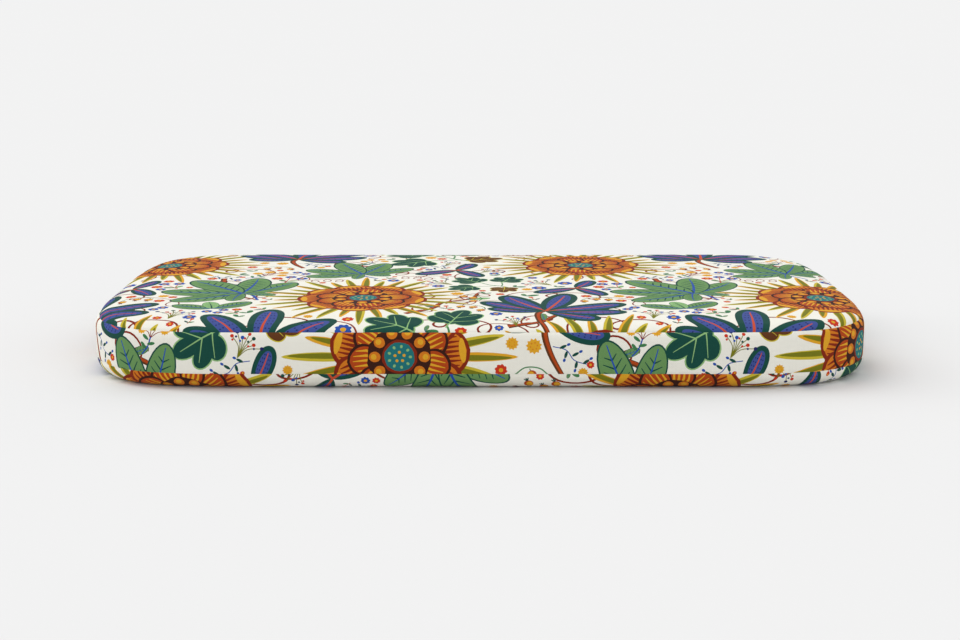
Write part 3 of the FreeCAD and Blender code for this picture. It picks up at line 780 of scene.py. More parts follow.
# ---------------------------------------------------------------- repeat of the print
REPEAT = np.array([270.0, 216.0])
CELL = 1.5
GRID = tuple(int(side / CELL) for side in REPEAT)
SIZES = (1.0, 0.82, 0.66)
NEAR = 3
TRUNKS = ((46, 118, 38), (196, 52, -34), (120, 196, -62), (250, 150, 60))
VINES = ((30, 14, 0.0), (98, 12, 0.4), (168, 13, 0.75))
LARGE = (
    violet_fan, green_fan, lobed_sprig, violet_fan, lobed_sprig, green_fan, violet_trio, lobed_sprig,
    green_pair,
)
MEDIUM = (
    lobed_sprig, branch, lambda: moved(violet_trio(), scale=0.7), lambda: moved(green_pair(), scale=0.8),
    lambda: moved(lobed_sprig(), scale=0.75), pompon_sprig, berry_sprig, fruit_sprig,
)
SMALL = (daisy_sprig, pompon_sprig, berry_sprig, tendril, fruit_sprig, spray, daisy_sprig)
LOOSE = (daisy, pompon, bud, spray, seedling, lambda: daisy(3.6, "red"), lambda: daisy(4.2, "blue"))


def long_vine(start, rise, phase):
    """A vine that meanders across the whole repeat, with a curl in every bend."""
    t = np.linspace(0, 1, 240)
    bend, curl = 2 * math.pi * (3 * t + phase), 2 * math.pi * (11 * t + phase)
    x = REPEAT[0] * t + 9 * np.sin(curl)
    y = start + rise * np.sin(bend) + 7.5 * np.cos(curl) + 4 * np.sin(2 * bend + 1)
    return ribbon("rust", np.stack([x, y], 1), 1.15 + 0.35 * np.sin(bend))


def inside_polygon(polygon, points):
    """Which points are inside a polygon."""
    inside = np.zeros(len(points), bool)
    x, y = points.T
    for (ax, ay), (bx, by) in zip(polygon, np.roll(polygon, -1, 0)):
        crosses = (ay > y) != (by > y)
        if crosses.any():
            inside ^= crosses & (x < ax + (y - ay) * (bx - ax) / (by - ay + 1e-12))
    return inside


def covered_cells(parts):
    """The cells of the repeat's grid that a motif covers."""
    cells = []
    for _, polygon in parts:
        low, high = np.floor(polygon.min(0) / CELL), np.ceil(polygon.max(0) / CELL)
        grid = grid_of(*(np.arange(a, b + 1) for a, b in zip(low, high)))
        cells.append(grid[inside_polygon(polygon, grid * CELL)])
        cells.append(np.round(polygon / CELL))
    return np.unique(np.concatenate(cells), axis=0).astype(int)


def widened(cells, reach):
    """Cells within a reach, in cells, of others."""
    steps = np.arange(-reach, reach + 1)
    disc = grid_of(steps, steps)
    disc = disc[(disc**2).sum(1) <= reach**2 + 0.5]
    return np.unique((cells[:, None] + disc[None]).reshape(-1, 2), axis=0)


def wrapped(cells):
    """The index of cells in a grid that goes on round the repeat."""
    return tuple((cells % GRID).T)


def print_repeat():
    """One repeat of the print: vines, then large motifs packed close, then sprigs and flowers in the gaps."""
    motifs, taken, near = [], np.zeros(GRID, bool), np.zeros(GRID)

    def put(parts, margin):
        cells = covered_cells(parts)
        motifs.append(parts)
        taken[wrapped(widened(cells, margin))] = True
        near[wrapped(widened(cells, margin + NEAR))] = True

    def fit(make, tries, margin, spared):
        turn, flip = RANDOM.uniform(-55, 55), RANDOM.random() < 0.5
        whole = moved(make(), turn=turn + 180 * flip, flip=flip)
        for size in SIZES:
            parts = moved(whole, scale=size)
            cells = covered_cells(parts)
            best, best_near = None, -1
            for place in RANDOM.integers((0, 0), GRID, (tries, 2)):
                index = wrapped(cells + place)
                if taken[index].mean() <= spared and near[index].sum() > best_near:
                    best, best_near = place, near[index].sum()
            if best is not None:
                put(moved(parts, *(best * CELL)), margin)
                return

    def scatter(kinds, count, tries, margin, spared):
        for i in range(count):
            fit(kinds[i % len(kinds)], tries, margin, spared)

    vines = [long_vine(*vine) for vine in VINES] + [moved(branch(), *trunk) for trunk in TRUNKS]
    put(moved(bloom(), 66, 60), 1)
    put(moved(bloom(), 201, 168, 20), 1)
    scatter(LARGE, 20, 400, 1, 0.03)
    scatter(MEDIUM, 40, 300, 1, 0.02)
    for vine in vines:
        taken[wrapped(covered_cells(vine))] = True
    scatter(SMALL, 70, 250, 0, 0.10)
    scatter(LOOSE, 190, 150, 0, 0.12)
    return vines + motifs


# ---------------------------------------------------------------- printed mesh
CUT_GAP = 0.004
SPILL = 0.05
BEND_SPACING = 1.3


def triangulated(points, cuts=(), outlines=(), gap=CUT_GAP):
    """Points and triangles made from flat points, with the points and the outlines that each comes from."""
    made = delaunay_2d_cdt([Vector(p) for p in points], list(cuts), list(outlines), 0, gap, True)
    return np.array([tuple(v) for v in made[0]]), made[2], made[3], made[5]


def all_edges(triangles):
    """The edges of triangles: all the first ones, then the second, then the third."""
    return np.concatenate([triangles[:, [0, 1]], triangles[:, [1, 2]], triangles[:, [2, 0]]])


def cross(a, b):
    """The cross product of flat vectors."""
    return a[:, 0] * b[:, 1] - a[:, 1] * b[:, 0]


def counter_clockwise(polygon):
    x, y = polygon.T
    area = (x * np.roll(y, -1) - np.roll(x, -1) * y).sum()
    return polygon if area > 0 else polygon[::-1]


def print_within(motifs, offset, low, high):
    """The inks and polygons of the print, repeated, that touch a box of cloth."""
    for parts in motifs:
        corners = np.concatenate([polygon for _, polygon in parts]) + offset
        first = np.ceil((low - corners.max(0)) / REPEAT).astype(int)
        last = np.floor((high - corners.min(0)) / REPEAT).astype(int)
        for i in range(first[0], last[0] + 1):
            for j in range(first[1], last[1] + 1):
                shift = np.array(offset) + (i, j) * REPEAT
                for ink, polygon in parts:
                    p = polygon + shift
                    if (p.max(0) > low).all() and (p.min(0) < high).all():
                        yield INK_NAMES.index(ink), counter_clockwise(p)


def flat_print(border, extra, motifs, offset, curved):
    """Triangles of a flat piece of cloth, cut along the edges of its print, and the ink of each triangle."""
    polygons, inks = [border], [0]
    for ink, polygon in print_within(motifs, offset, border.min(0), border.max(0)):
        polygons.append(polygon)
        inks.append(ink)
    outlines, start = [], 0
    for polygon in polygons:
        outlines.append(list(range(start, start + len(polygon))))
        start += len(polygon)
    flat, faces, _, owners = triangulated(np.concatenate(polygons + [extra]), outlines=outlines)
    inside = [(face, ids) for face, ids in zip(faces, owners) if 0 in ids]
    triangles = np.array([face for face, _ in inside])
    spilt = spilt_polygons(polygons, flat, triangles, [ids for _, ids in inside])
    tops = [max(number for number in ids if number not in spilt) for _, ids in inside]
    return visible_print(flat, triangles, np.array(inks)[tops], extra, curved)


def spilt_polygons(polygons, flat, triangles, owners):
    """The polygons whose fill escaped through a gap, so that it covers more than their box."""
    start, second, third = (flat[triangles[:, i]] for i in range(3))
    areas = np.abs(cross(second - start, third - start)) / 2
    filled = np.zeros(len(polygons))
    for area, ids in zip(areas, owners):
        filled[list(ids)] += area
    boxes = np.array([np.prod(np.ptp(polygon, axis=0)) for polygon in polygons])
    return set(np.flatnonzero(filled[1:] > boxes[1:] + SPILL) + 1)


def split_cuts(points, cuts, curved):
    """Adds points on the cuts that cross a bend, so that each of their pieces is short."""
    start, end = points[cuts[:, 0]], points[cuts[:, 1]]
    length = np.hypot(*(end - start).T)
    pieces = np.where(curved((start + end) / 2), np.ceil(length / BEND_SPACING), 1).astype(int)
    all_points, all_cuts = [points], [cuts[pieces == 1]]
    count = len(points)
    for number in np.unique(pieces[pieces > 1]):
        chosen = pieces == number
        share = (np.arange(1, number) / number)[None, :, None]
        added = start[chosen][:, None] * (1 - share) + end[chosen][:, None] * share
        index = count + np.arange(chosen.sum() * (number - 1)).reshape(-1, number - 1)
        chain = np.hstack([cuts[chosen][:, :1], index, cuts[chosen][:, 1:]])
        all_points.append(added.reshape(-1, 2))
        all_cuts.append(np.stack([chain[:, :-1], chain[:, 1:]], -1).reshape(-1, 2))
        count += index.size
    return np.concatenate(all_points), np.concatenate(all_cuts)


def visible_print(flat, triangles, inks, extra, curved):
    """The same print with only the edges that show: those where the ink changes, and the border."""
    edges = all_edges(triangles)
    sides = np.tile(inks, 3)
    order = np.lexsort((edges.max(1), edges.min(1)))
    low, high, sides = edges.min(1)[order], edges.max(1)[order], sides[order]
    twin = np.zeros(len(order), bool)
    twin[:-1] = (low[:-1] == low[1:]) & (high[:-1] == high[1:])
    shown = (twin & (sides != np.roll(sides, -1))) | (~twin & ~np.roll(twin, 1))
    used, index = np.unique(np.stack([low[shown], high[shown]], 1), return_inverse=True)
    points, cuts = split_cuts(flat[used], index.reshape(-1, 2), curved)
    new_flat, faces, _, _ = triangulated(np.concatenate([points, extra]), cuts.tolist())
    faces = np.array(faces)
    solid = np.hstack([flat, np.zeros((len(flat), 1))])
    tree = BVHTree.FromPolygons(solid.tolist(), triangles.tolist())
    below = [tree.find_nearest((x, y, 0.0)) for x, y in new_flat[faces].mean(1).tolist()]
    inside = np.array([found[3] < CUT_GAP for found in below])
    new_inks = inks[[found[2] for found in below]]
    kept, renamed = np.unique(faces[inside], return_inverse=True)
    return new_flat[kept], renamed.reshape(-1, 3), new_inks[inside]


def boundary_loop(triangles):
    """The vertices along the open edge of a flat piece, in order, with the piece on the left."""
    inner = {(a, b) for a, b in all_edges(triangles).tolist()}
    after = {a: b for a, b in inner if (b, a) not in inner}
    start = next(iter(after))
    loop, here = [start], after[start]
    while here != start:
        loop.append(here)
        here = after[here]
    return np.array(loop)


def flat_backing(border, extra):
    """Triangles of the plain inner side of a piece, whose first vertices are its border."""
    flat = np.concatenate([border, extra])
    _, faces, sources, owners = triangulated(flat, outlines=[list(range(len(border)))], gap=1e-6)
    return flat, np.array([[sources[v][0] for v in face] for face, ids in zip(faces, owners) if ids])


def new_mesh(name, points, faces):
    """An object from points in millimetres."""
    mesh = bpy.data.meshes.new(name)
    mesh.from_pydata(np.asarray(points) * MM, [], [list(map(int, f)) for f in faces])
    mesh.shade_smooth()
    piece = bpy.data.objects.new(name, mesh)
    bpy.context.scene.collection.objects.link(piece)
    return piece


def add_values(piece, name, values, domain="POINT", kind="VECTOR"):
    """Gives each vertex or face of a piece a vector or a colour, for its material."""
    data = piece.data.attributes.new(name, "FLOAT_" + kind, domain).data
    data.foreach_set(kind.lower(), values.astype(np.float32).ravel())


def spread(low, high, spacing):
    """Points on an even grid between two corners, each moved a little."""
    x = np.arange(low[0] + spacing / 2, high[0], spacing)
    y = np.arange(low[1] + spacing / 2, high[1], spacing)
    grid = grid_of(x, y)
    return grid + RANDOM.uniform(-0.12, 0.12, grid.shape) * spacing


def cloth_piece(name, border, fine, coarse, place, motifs, offset, curved):
    """A panel of printed fabric: its outer side cut along the print, its plain inner side, and its edge."""
    flat, triangles, inks = flat_print(border, fine, motifs, offset, curved)
    loop = boundary_loop(triangles)
    back_flat, back_triangles = flat_backing(flat[loop], coarse)
    back_triangles = back_triangles[:, ::-1] + len(flat)
    after = np.roll(np.arange(len(loop)), -1)
    inner = len(flat) + np.arange(len(loop))
    edge = np.stack([loop, inner, inner[after], loop[after]], 1)
    points = [relaxed(place(flat, 0.0)), relaxed(place(back_flat, FABRIC))]
    piece = new_mesh(name, np.vstack(points), triangles.tolist() + back_triangles.tolist() + edge.tolist())
    plain = np.zeros(len(back_triangles) + len(edge), int)
    add_values(piece, "print", INK_COLOURS[np.concatenate([inks, plain])], "FACE", "COLOR")
    cloth = np.concatenate([flat, back_flat])
    add_values(piece, "cloth", np.column_stack([cloth, np.zeros(len(cloth))]))
    set_normals(piece.data, place, flat, back_flat)
    piece.data.materials.append(MATERIALS["printed_fabric"])
    return piece


def set_normals(mesh, place, flat, back_flat):
    """Normals from the smooth surface itself, so that the cuts along the print don't show."""
    normals = []
    for points, depth, side in ((flat, 0.0, 1.0), (back_flat, FABRIC, -1.0)):
        slopes = []
        for step in ((0.25, 0), (0, 0.25)):
            slopes.append(relaxed(place(points + step, depth)) - relaxed(place(points - step, depth)))
        normals.append(unit(np.cross(*slopes) * side))
    mesh.normals_split_custom_set_from_vertices(np.vstack(normals))


# ---------------------------------------------------------------- cloth simulation of the cover
SIM_SPACING, SIM_FRAMES = 9.0, 20
TOP_RISE, BAND_RISE = 1.4, 0.45
CLOTH_SETTINGS = {
    "quality": 6, "mass": 0.25, "tension_stiffness": 25, "compression_stiffness": 25, "shear_stiffness": 12,
    "bending_stiffness": 2, "use_pressure": True, "uniform_pressure_force": 3.0, "vertex_group_mass": "held",
}


def ring(distance, spacing, phase=0.0):
    """Points of the flat cloth of a panel, all at one distance outside the plan."""
    count = int(PERIMETER / spacing)
    point, normal = outline((np.arange(count) + phase) * PERIMETER / count)
    return point + normal * distance


def inside_plan(points, margin):
    return points[outward(points)[0] < -margin]


def loops_joined(upper, lower, count):
    """Faces between two closed rows of vertices, given where each row starts."""
    here, after = np.arange(count), np.roll(np.arange(count), -1)
    return np.stack([upper + here, lower + here, lower + after, upper + after], 1)


def cover_shell():
    """A coarse closed shell of the whole cover, and how far each of its vertices may move."""
    count = int(PERIMETER / SIM_SPACING)
    s = np.arange(count) * PERIMETER / count
    grid = spread(-CORNER, CORNER, SIM_SPACING)
    rows = np.linspace(0, BAND_RUN, 5)[1:-1]
    caps = []
    for top in (True, False):
        radius, length = (TOP_ROUND, TOP_RUN) if top else (BOTTOM_ROUND, BOTTOM_RUN)
        inner = np.vstack([ring(length - radius - 5, SIM_SPACING, 0.5), inside_plan(grid, radius + 2)])
        flat, triangles = flat_backing(ring(length - radius, PERIMETER / count), inner)
        caps.append((place_cap(flat, top), triangles))
    band = [place_band(np.column_stack([s, np.full(count, -row)])) for row in rows]
    (top_points, top_faces), (low_points, low_faces) = caps
    points = np.vstack([top_points, *band, low_points])
    low_start = len(points) - len(low_points)
    starts = [0] + [len(top_points) + i * count for i in range(len(rows))] + [low_start]
    faces = top_faces.tolist() + (low_faces[:, ::-1] + low_start).tolist()
    for upper, lower in zip(starts, starts[1:]):
        faces += loops_joined(upper, lower, count).tolist()
    limit = np.full(len(points), BAND_RISE)
    limit[: len(top_points)] = TOP_RISE
    limit[:count] = 0
    limit[low_start:] = 0
    return points, faces, limit


def modified(piece):
    """A piece's mesh after its modifiers, and its points in millimetres."""
    mesh = piece.evaluated_get(bpy.context.evaluated_depsgraph_get()).to_mesh()
    co = np.zeros(len(mesh.vertices) * 3)
    mesh.vertices.foreach_get("co", co)
    return mesh, co.reshape(-1, 3) / MM


def smoothed_shape(points, faces):
    """The points and triangles of a mesh after two subdivisions."""
    shape = new_mesh("shape", points, faces)
    shape.modifiers.new("smooth", "SUBSURF").levels = 2
    mesh, smoothed = modified(shape)
    mesh.calc_loop_triangles()
    triangles = np.zeros(len(mesh.loop_triangles) * 3, int)
    mesh.loop_triangles.foreach_get("vertices", triangles)
    bpy.data.objects.remove(shape)
    return smoothed, triangles.reshape(-1, 3)


def simulate(points, faces, limit):
    """The shell's points after a short cloth simulation under slight pressure, each kept within its limit."""
    cloth = new_mesh("cover_sim", points, faces)
    cloth.vertex_groups.new(name="held").add(np.flatnonzero(limit == 0).tolist(), 1.0, "REPLACE")
    settings = cloth.modifiers.new("cloth", "CLOTH").settings
    for name, value in CLOTH_SETTINGS.items():
        setattr(settings, name, value)
    settings.effector_weights.gravity = 0
    scene = bpy.context.scene
    for step in range(1, SIM_FRAMES + 1):
        scene.frame_set(step)
    _, swollen = modified(cloth)
    scene.frame_set(1)
    bpy.data.objects.remove(cloth)
    step = swollen - points
    length = np.maximum(np.linalg.norm(step, axis=1), TINY)
    kept = limit * np.tanh(length / np.maximum(limit, TINY))
    return points + step * (kept / length)[:, None]


def cover_field():
    """A tree of the shell at rest, its triangles, and how far each of its points moves under pressure."""
    points, faces, limit = cover_shell()
    full = simulate(points, faces, limit)
    rest, triangles = smoothed_shape(points, faces)
    swollen, _ = smoothed_shape(full, faces)
    tree = BVHTree.FromPolygons(rest.tolist(), triangles.tolist())
    return tree, rest, triangles, swollen - rest


FIELD = cover_field()


def relaxed(points):
    """Points of the cover moved as the simulated shell moves."""
    tree, rest, triangles, steps = FIELD
    found = np.array([tree.find_nearest(p)[2] for p in points.tolist()])
    corners = triangles[found]
    a, b, c = (rest[corners[:, i]] for i in range(3))
    normal = np.cross(b - a, c - a)
    area = np.maximum((normal**2).sum(1), 1e-12)
    wa = (np.cross(c - b, points - b) * normal).sum(1) / area
    wb = (np.cross(a - c, points - c) * normal).sum(1) / area
    weights = np.clip(np.stack([wa, wb, 1 - wa - wb], 1), 0, 1)
    weights /= weights.sum(1)[:, None]
    return points + (steps[corners] * weights[:, :, None]).sum(1)


# ---------------------------------------------------------------- cover panels
EDGE_SPACING = 1.5
RIM_SHARES = (-0.25, 0.05, 0.2, 0.34, 0.48, 0.6, 0.7, 0.78, 0.85, 0.91, 0.955)
EDGE_STEPS = np.array([0.35, 0.8, 1.4, 2.2])
PANEL_GAP = 0.04
# Where each panel is cut from the print.
TOP_CUT, BOTTOM_CUT = (0.0, 0.0), (96.0, 52.0)
BAND_CUT, REAR_CUT, TAB_CUT = (160.0, 142.0), (10.0, 30.0), (70.0, 120.0)


def cap_panel(name, top, motifs, offset):
    """The top or bottom panel."""
    radius, length = (TOP_ROUND, TOP_RUN) if top else (BOTTOM_ROUND, BOTTOM_RUN)
    fine = [inside_plan(spread(-CORNER, CORNER, 4.5), radius + 3)]
    fine += [ring(share * length - radius, 2.4, i % 2 / 2) for i, share in enumerate(RIM_SHARES)]
    coarse = [inside_plan(spread(-CORNER, CORNER, 10.0), radius + 5)]
    coarse += [ring(share * length - radius, 6.0) for share in (0.0, 0.4, 0.75, 0.92)]
    border = ring(length - radius, EDGE_SPACING)
    mirror = np.array([1.0 if top else -1.0, 1.0])

    def place(flat, depth):
        return place_cap(flat * mirror, top, depth)

    def curved(flat):
        return outward(flat)[0] > -radius - 2

    border = border if top else (border * mirror)[::-1]
    fine, coarse = np.vstack(fine), np.vstack(coarse) * mirror
    return cloth_piece(name, border, fine, coarse, place, motifs, offset, curved)


def rectangle(low, high, spacing):
    """Points round a rectangle, counter-clockwise."""
    across, upward = (np.linspace(a, b, max(2, int((b - a) / spacing)) + 1)[:-1] for a, b in zip(low, high))
    bottom = np.column_stack([across, np.full(len(across), low[1])])
    right = np.column_stack([np.full(len(upward), high[0]), upward])
    corner_sum = np.array([low[0] + high[0], low[1] + high[1]])
    return np.vstack([bottom, right, corner_sum - bottom, corner_sum - right])


def graded(low, high, step):
    """Places between two ends, closer together near the ends."""
    near = EDGE_STEPS[EDGE_STEPS < (high - low) / 2 - 0.3]
    last = near[-1]
    middle = np.linspace(low + last, high - last, max(2, int((high - low - 2 * last) / step) + 1))
    return np.concatenate([low + near[:-1], middle, high - near[:-1]])


def band_piece(name, low, high, motifs, offset, fold=None):
    """A piece of the band between two corners of its flat cloth. fold is the axis and place of its fold."""
    def place(flat, depth):
        inside = np.full(len(flat), float(depth))
        if fold:
            inside += folded(np.abs(flat[:, fold[0]] - fold[1])) * (1 - 2 * depth / FABRIC)
        return place_band(flat, inside)

    def net(step_x, step_y, spacing):
        x = np.arange(low[0] + spacing, high[0] - spacing / 2, spacing)
        if fold:
            x = np.concatenate([x, graded(low[0], high[0], step_x)])
        grid = grid_of(np.unique(np.round(x, 2)), graded(low[1], high[1], step_y))
        return grid + RANDOM.uniform(-0.04, 0.04, grid.shape)

    def curved(flat):
        return np.ones(len(flat), bool)

    border = rectangle(low, high, EDGE_SPACING)
    return cloth_piece(name, border, net(2.4, 1.3, 2.4), net(6, 4, 6.0), place, motifs, offset, curved)


def cloth_height(z):
    """The band's cloth coordinate at a height of the pad."""
    if z > HEIGHT - TOP_ROUND:
        return TOP_ROUND * math.asin((z - HEIGHT + TOP_ROUND) / TOP_ROUND) - UPPER_BEND
    return z - (HEIGHT - TOP_ROUND) - UPPER_BEND


def cover_panels():
    """All the printed pieces of the cover, by the CAD node that each stands for."""
    motifs = print_repeat()
    middle = PERIMETER / 2
    upper, lower = cloth_height(OPENING_HIGH), cloth_height(OPENING_LOW)
    front_end = middle - REAR_END - PANEL_GAP
    far = REAR_END - PANEL_GAP
    front = (-front_end, -BAND_RUN), (front_end, 0)
    panels = {
        "top_panel": cap_panel("top_cover", True, motifs, TOP_CUT),
        "bottom_panel": cap_panel("bottom_cover", False, motifs, BOTTOM_CUT),
        "front_band": band_piece("front_band_cover", *front, motifs, BAND_CUT),
    }
    for side, bottom, top, fold in (("upper", upper, 0, upper), ("lower", -BAND_RUN, lower, lower)):
        low, high = (middle - far, bottom), (middle + far, top)
        panels["rear_band_" + side] = band_piece("zip_band_" + side, low, high, motifs, REAR_CUT, (1, fold))
    ends = (("right", -far, -TAB_START, -TAB_START), ("left", TAB_START, far, TAB_START))
    for side, start, end, edge in ends:
        low, high = (middle + start, lower + PANEL_GAP), (middle + end, upper - PANEL_GAP)
        fold = (0, middle + edge)
        panels["zip_end_tab_" + side] = band_piece("zip_tab_" + side, low, high, motifs, TAB_CUT, fold)
    return panels


# ---------------------------------------------------------------- threads
SEAM_STITCH, SEAM_THREAD, SEAM_SWAY = 3.0, 0.22, (0.22, 0.15)
STITCH_PITCH, STITCH_LENGTH, STITCH_THREAD = 2.8, 2.35, 0.26


def tube(centres, radii, sides=6, closed=False):
    """Vertices, faces and lay (length along, angle round) of a tube along a line."""
    along = unit(np.roll(centres, -1, 0) - np.roll(centres, 1, 0) if closed else np.gradient(centres, axis=0))
    up = np.where(np.abs(along[:, 2:]) < 0.9, np.array([[0, 0, 1.0]]), np.array([[1.0, 0, 0]]))
    side = unit(np.cross(along, up))
    top = np.cross(side, along)
    angle = full_turn(sides)
    radii = np.broadcast_to(np.asarray(radii, float), len(centres))
    rim = side[:, None] * np.cos(angle)[None, :, None] + top[:, None] * np.sin(angle)[None, :, None]
    points = (centres[:, None] + rim * radii[:, None, None]).reshape(-1, 3)
    count = len(centres)
    faces = []
    for i in range(count if closed else count - 1):
        a, b = i * sides, (i + 1) % count * sides
        faces += [(a + j, b + j, b + (j + 1) % sides, a + (j + 1) % sides) for j in range(sides)]
    if not closed:
        faces += [tuple(range(sides)), tuple(range(len(points) - sides, len(points)))[::-1]]
    reach = np.concatenate([[0], np.cumsum(np.linalg.norm(np.diff(centres, axis=0), axis=1))])
    lay = np.stack(np.broadcast_arrays(reach[:, None], angle[None, :], 0.0), -1).reshape(-1, 3)
    return points, faces, lay


def thread_piece(name, tubes):
    """One object from several tubes of thread."""
    points, faces, lay, start = [], [], [], 0
    for tube_points, tube_faces, tube_lay in tubes:
        points.append(tube_points)
        lay.append(tube_lay)
        faces += [tuple(v + start for v in face) for face in tube_faces]
        start += len(tube_points)
    piece = new_mesh(name, np.vstack(points), faces)
    add_values(piece, "lay", np.vstack(lay))
    piece.data.materials.append(MATERIALS["thread"])
    return piece


def seam_thread(name, cloth_level):
    """The lockstitch thread inside a seam that runs all round, which sways from side to side."""
    s = np.arange(0, PERIMETER, SEAM_STITCH / 4)
    s = s * PERIMETER / (s[-1] + SEAM_STITCH / 4)
    sway = 2 * math.pi * np.round(PERIMETER / SEAM_STITCH) * s / PERIMETER
    cloth = np.column_stack([s, cloth_level + SEAM_SWAY[0] * np.cos(sway)])
    centres = relaxed(place_band(cloth, FABRIC + 0.55 + SEAM_SWAY[1] * np.sin(sway)))
    return thread_piece(name, [tube(centres, SEAM_THREAD, closed=True)])


def band_end_threads():
    """The threads of the two upright seams, where the front band meets the rear band."""
    low, high = (cloth_height(corner[2]) for corner in node_box("band_end_threads"))
    level = np.arange(low, high, SEAM_STITCH / 4)
    sway = 2 * math.pi * level / SEAM_STITCH
    tubes = []
    for side in (-1, 1):
        cloth = np.column_stack([PERIMETER / 2 + side * REAR_END + SEAM_SWAY[0] * np.cos(sway), level])
        centres = relaxed(place_band(cloth, FABRIC + 0.5 + SEAM_SWAY[1] * np.sin(sway)))
        tubes.append(tube(centres, SEAM_THREAD))
    return thread_piece("band_end_stitches", tubes)


def topstitching(side):
    """A row of separate stitches that lie on the fabric and dip into it at both ends."""
    level = cloth_height(node_box("zip_topstitch_" + side)[0][2] + 0.25)
    count = int(2 * TAB_START / STITCH_PITCH)
    share = np.linspace(0, 1, 8)
    tubes = []
    for i in range(count):
        start = PERIMETER / 2 - TAB_START + (i + 0.5) * 2 * TAB_START / count
        s = start + (share - 0.5) * STITCH_LENGTH
        lift = 0.3 * np.sin(math.pi * share) ** 0.5 - 0.2
        cloth = np.column_stack([s, level + RANDOM.uniform(-0.08, 0.08) + 0.16 * (share - 0.5)])
        thick = STITCH_THREAD * (0.72 + 0.28 * np.sin(math.pi * share))
        tubes.append(tube(relaxed(place_band(cloth, -lift)), thick, 7))
    return thread_piece("zip_topstitches_" + side, tubes)


# ---------------------------------------------------------------- foams
UPPER_ROUND, LOWER_ROUND, NICK = 9.0, 8.5, 0.4
RELIEF_DEPTH, RELIEF_HALF, RELIEF_END = 1.3, 5.2, 1.5
RELIEF_LOW, RELIEF_HIGH = ZIP_LEVEL - RELIEF_HALF, ZIP_LEVEL + RELIEF_HALF


def foam_slab(name, section, slot):
    """A slab of foam: a section of insets and heights, from its lower to its upper edge, round the plan."""
    count = 360
    point, normal = outline(np.arange(count) * PERIMETER / count)
    grid = spread(-CORNER, CORNER, 8.0)
    rows = [np.column_stack([point - normal * inset, np.full(count, z)]) for inset, z in section]
    points, faces = [np.vstack(rows)], []
    here, after = np.arange(count), np.roll(np.arange(count), -1)
    for a in range(0, (len(rows) - 1) * count, count):
        b = a + count
        faces += np.stack([a + here, a + after, b + after, b + here], 1).tolist()
    start = len(points[0])
    for row, (inset, z), up in ((0, section[0], False), (len(rows) - 1, section[-1], True)):
        flat, triangles = flat_backing(rows[row][:, :2], inside_plan(grid, inset + 5))
        index = np.concatenate([row * count + here, start + np.arange(len(flat) - count)])
        points.append(np.column_stack([flat[count:], np.full(len(flat) - count, z)]))
        start += len(flat) - count
        faces += index[triangles if up else triangles[:, ::-1]].tolist()
    piece = new_mesh(name, relieved(np.vstack(points)), faces)
    piece.data.materials.append(MATERIALS[slot])
    return piece


def relieved(points):
    """Points moved forward where the foam leaves room behind the slider."""
    x, y, z = points.T
    behind = (y > HALF_WIDTH - 12) & (z > RELIEF_LOW - 0.01) & (z < RELIEF_HIGH - 0.01)
    ends = np.clip((TAB_START - np.abs(x)) / RELIEF_END, 0, 1)
    return points - np.column_stack([np.zeros(len(x)), RELIEF_DEPTH * ends * behind, np.zeros(len(x))])


def bend_section(inset, level, radius, upper):
    """Quarter of a round edge as insets and heights, upwards: an upper edge, or a lower one."""
    angle = np.linspace(0, math.pi / 2, 9)
    rows = [(inset + radius * (1 - math.cos(a)), level + radius * math.sin(a)) for a in angle]
    return rows if upper else [(i, 2 * level - z) for i, z in rows][::-1]


def foams():
    """The soft comfort layer and the firm base layer under it."""
    (_, _, split), (side, _, top) = node_box("comfort_foam")
    inset = HALF_LENGTH - side
    comfort = [(inset + NICK, split), (inset, split + NICK * 0.8)]
    comfort += bend_section(inset, top - UPPER_ROUND, UPPER_ROUND, True)
    base = bend_section(inset, node_box("base_foam")[0][2] + LOWER_ROUND, LOWER_ROUND, False)
    base += [(inset, z) for z in (RELIEF_LOW - 0.3, RELIEF_LOW, 18.0, 22.0, split - NICK)]
    base.append((inset + NICK, split - 0.02))
    return {
        "comfort_foam": foam_slab("comfort_foam_slab", comfort, "comfort_foam"),
        "base_foam": foam_slab("base_foam_slab", base, "base_foam"),
    }


# ---------------------------------------------------------------- zip
def finish_zip():
    """Materials and rounded edges for the zip's own pieces, which keep their shapes."""
    for name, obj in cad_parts.items():
        if not name.startswith("zip_") or "tab" in name or "topstitch" in name:
            continue
        metal = name in ("zip_slider", "zip_pull")
        slot = "zip_metal" if metal else "zip_tape" if "tape" in name else "zip_teeth"
        obj.data.materials.clear()
        obj.data.materials.append(MATERIALS[slot])
        obj.modifiers.new("joined_corners", "WELD").merge_threshold = 0.001 * MM
        bevel = obj.modifiers.new("rounded_edges", "BEVEL")
        bevel.width = (0.28 if metal else 0.12) * MM
        bevel.segments = 3 if metal else 2
        bevel.limit_method = "ANGLE"
        bevel.angle_limit = math.radians(30)
        obj.modifiers.new("even_shading", "WEIGHTED_NORMAL").keep_sharp = False


# ---------------------------------------------------------------- studio
CAMERA_DISTANCE, CAMERA_RISE, CAMERA_LENS = 0.967, math.radians(12.0), 58.2
CAMERA_TARGET = Vector((0, 0, 0.0175))
AIM_DROP = 0.004
FLOOR_REACH = 40.0
FLOOR_TONE, SKY_TONE = 0.78, 0.888
STRIP_HEIGHTS, STRIP_AZIMUTH = (18, 32, 46, 60, 74), math.radians(-20)
STRIP_STRENGTH, STRIP_SPREAD = 0.235, math.radians(14)


def add_object(name, data):
    """A new object in the scene."""
    made = bpy.data.objects.new(name, data)
    bpy.context.scene.collection.objects.link(made)
    return made


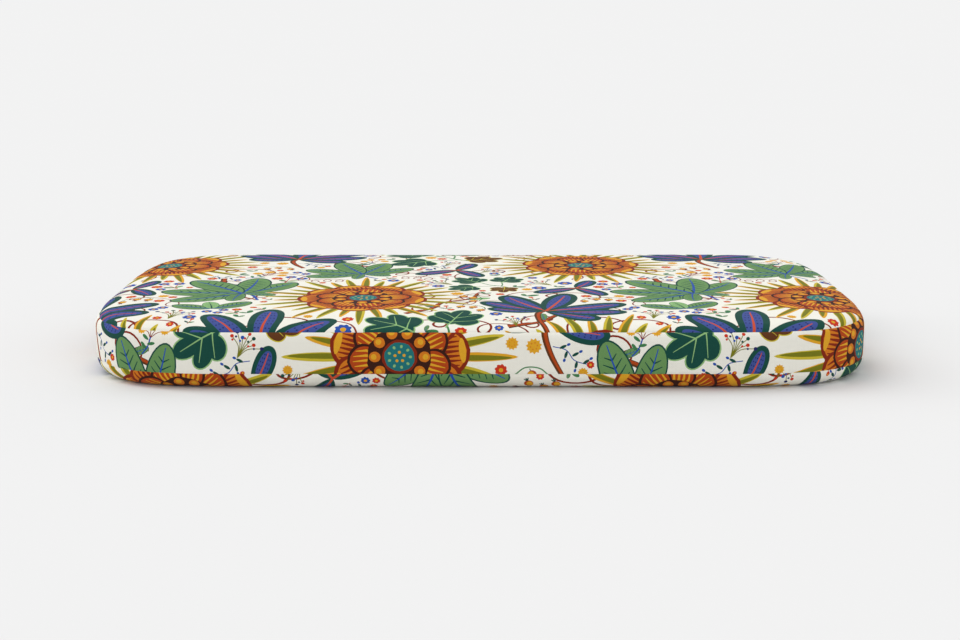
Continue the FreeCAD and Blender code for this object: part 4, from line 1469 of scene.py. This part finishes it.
def add_camera():
    """The camera's place, aimed slightly under the middle of the pad."""
    camera = add_object("camera", bpy.data.cameras.new("camera"))
    camera.data.lens = CAMERA_LENS
    camera.data.sensor_width = 36.0
    back = Vector((0, -math.cos(CAMERA_RISE), math.sin(CAMERA_RISE)))
    camera.location = CAMERA_TARGET + back * CAMERA_DISTANCE
    aim = CAMERA_TARGET - Vector((0, 0, AIM_DROP)) - camera.location
    camera.rotation_euler = aim.to_track_quat("-Z", "Y").to_euler()
    bpy.context.scene.camera = camera


def add_floor():
    """A pale floor."""
    mesh = bpy.data.meshes.new("floor")
    corners = [(x * FLOOR_REACH, y * FLOOR_REACH, 0) for x, y in ((-1, -1), (1, -1), (1, 1), (-1, 1))]
    mesh.from_pydata(corners, [], [(0, 1, 2, 3)])
    made = Finish("pale_floor")
    tone = made.noise(made.node("TexCoord", output="Object"), 3.0)
    made.coloured((FLOOR_TONE,) * 3, (tone, 0.997, 1.003))
    mesh.materials.append(made.set(Roughness=1.0, Specular_IOR_Level=0.0))
    add_object("floor", mesh)


def add_lights():
    """An even sky of the floor's tone, and a tall strip of light at the left."""
    world = bpy.data.worlds.new("studio")
    bpy.context.scene.world = world
    world.use_nodes = True
    world.node_tree.nodes["Background"].inputs["Color"].default_value = (SKY_TONE, SKY_TONE, SKY_TONE, 1)
    for height in STRIP_HEIGHTS:
        light = bpy.data.lights.new(f"strip_{height}", "SUN")
        light.energy = STRIP_STRENGTH
        light.angle = STRIP_SPREAD
        rise = math.radians(height)
        level = Vector((math.cos(STRIP_AZIMUTH), math.sin(STRIP_AZIMUTH), 0)) * math.cos(rise)
        down = level - Vector((0, 0, math.sin(rise)))
        add_object(light.name, light).rotation_euler = down.to_track_quat("-Z", "Y").to_euler()
    bpy.context.scene.view_settings.view_transform = "Standard"


# ---------------------------------------------------------------- the whole scene
def stand_for(piece, *nodes):
    """A piece on the pad that is shown instead of CAD nodes."""
    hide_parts(*nodes)
    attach(piece, "pad")


add_camera()
add_floor()
add_lights()
for cad_node, panel in cover_panels().items():
    stand_for(panel, cad_node)
for cad_node, slab in foams().items():
    stand_for(slab, cad_node)
threads = {
    "top_seam_thread": seam_thread("top_seam_stitches", 0.0),
    "bottom_seam_thread": seam_thread("bottom_seam_stitches", -BAND_RUN),
    "band_end_threads": band_end_threads(),
    "zip_topstitch_upper": topstitching("upper"),
    "zip_topstitch_lower": topstitching("lower"),
}
for cad_node, stitches in threads.items():
    stand_for(stitches, cad_node)
finish_zip()
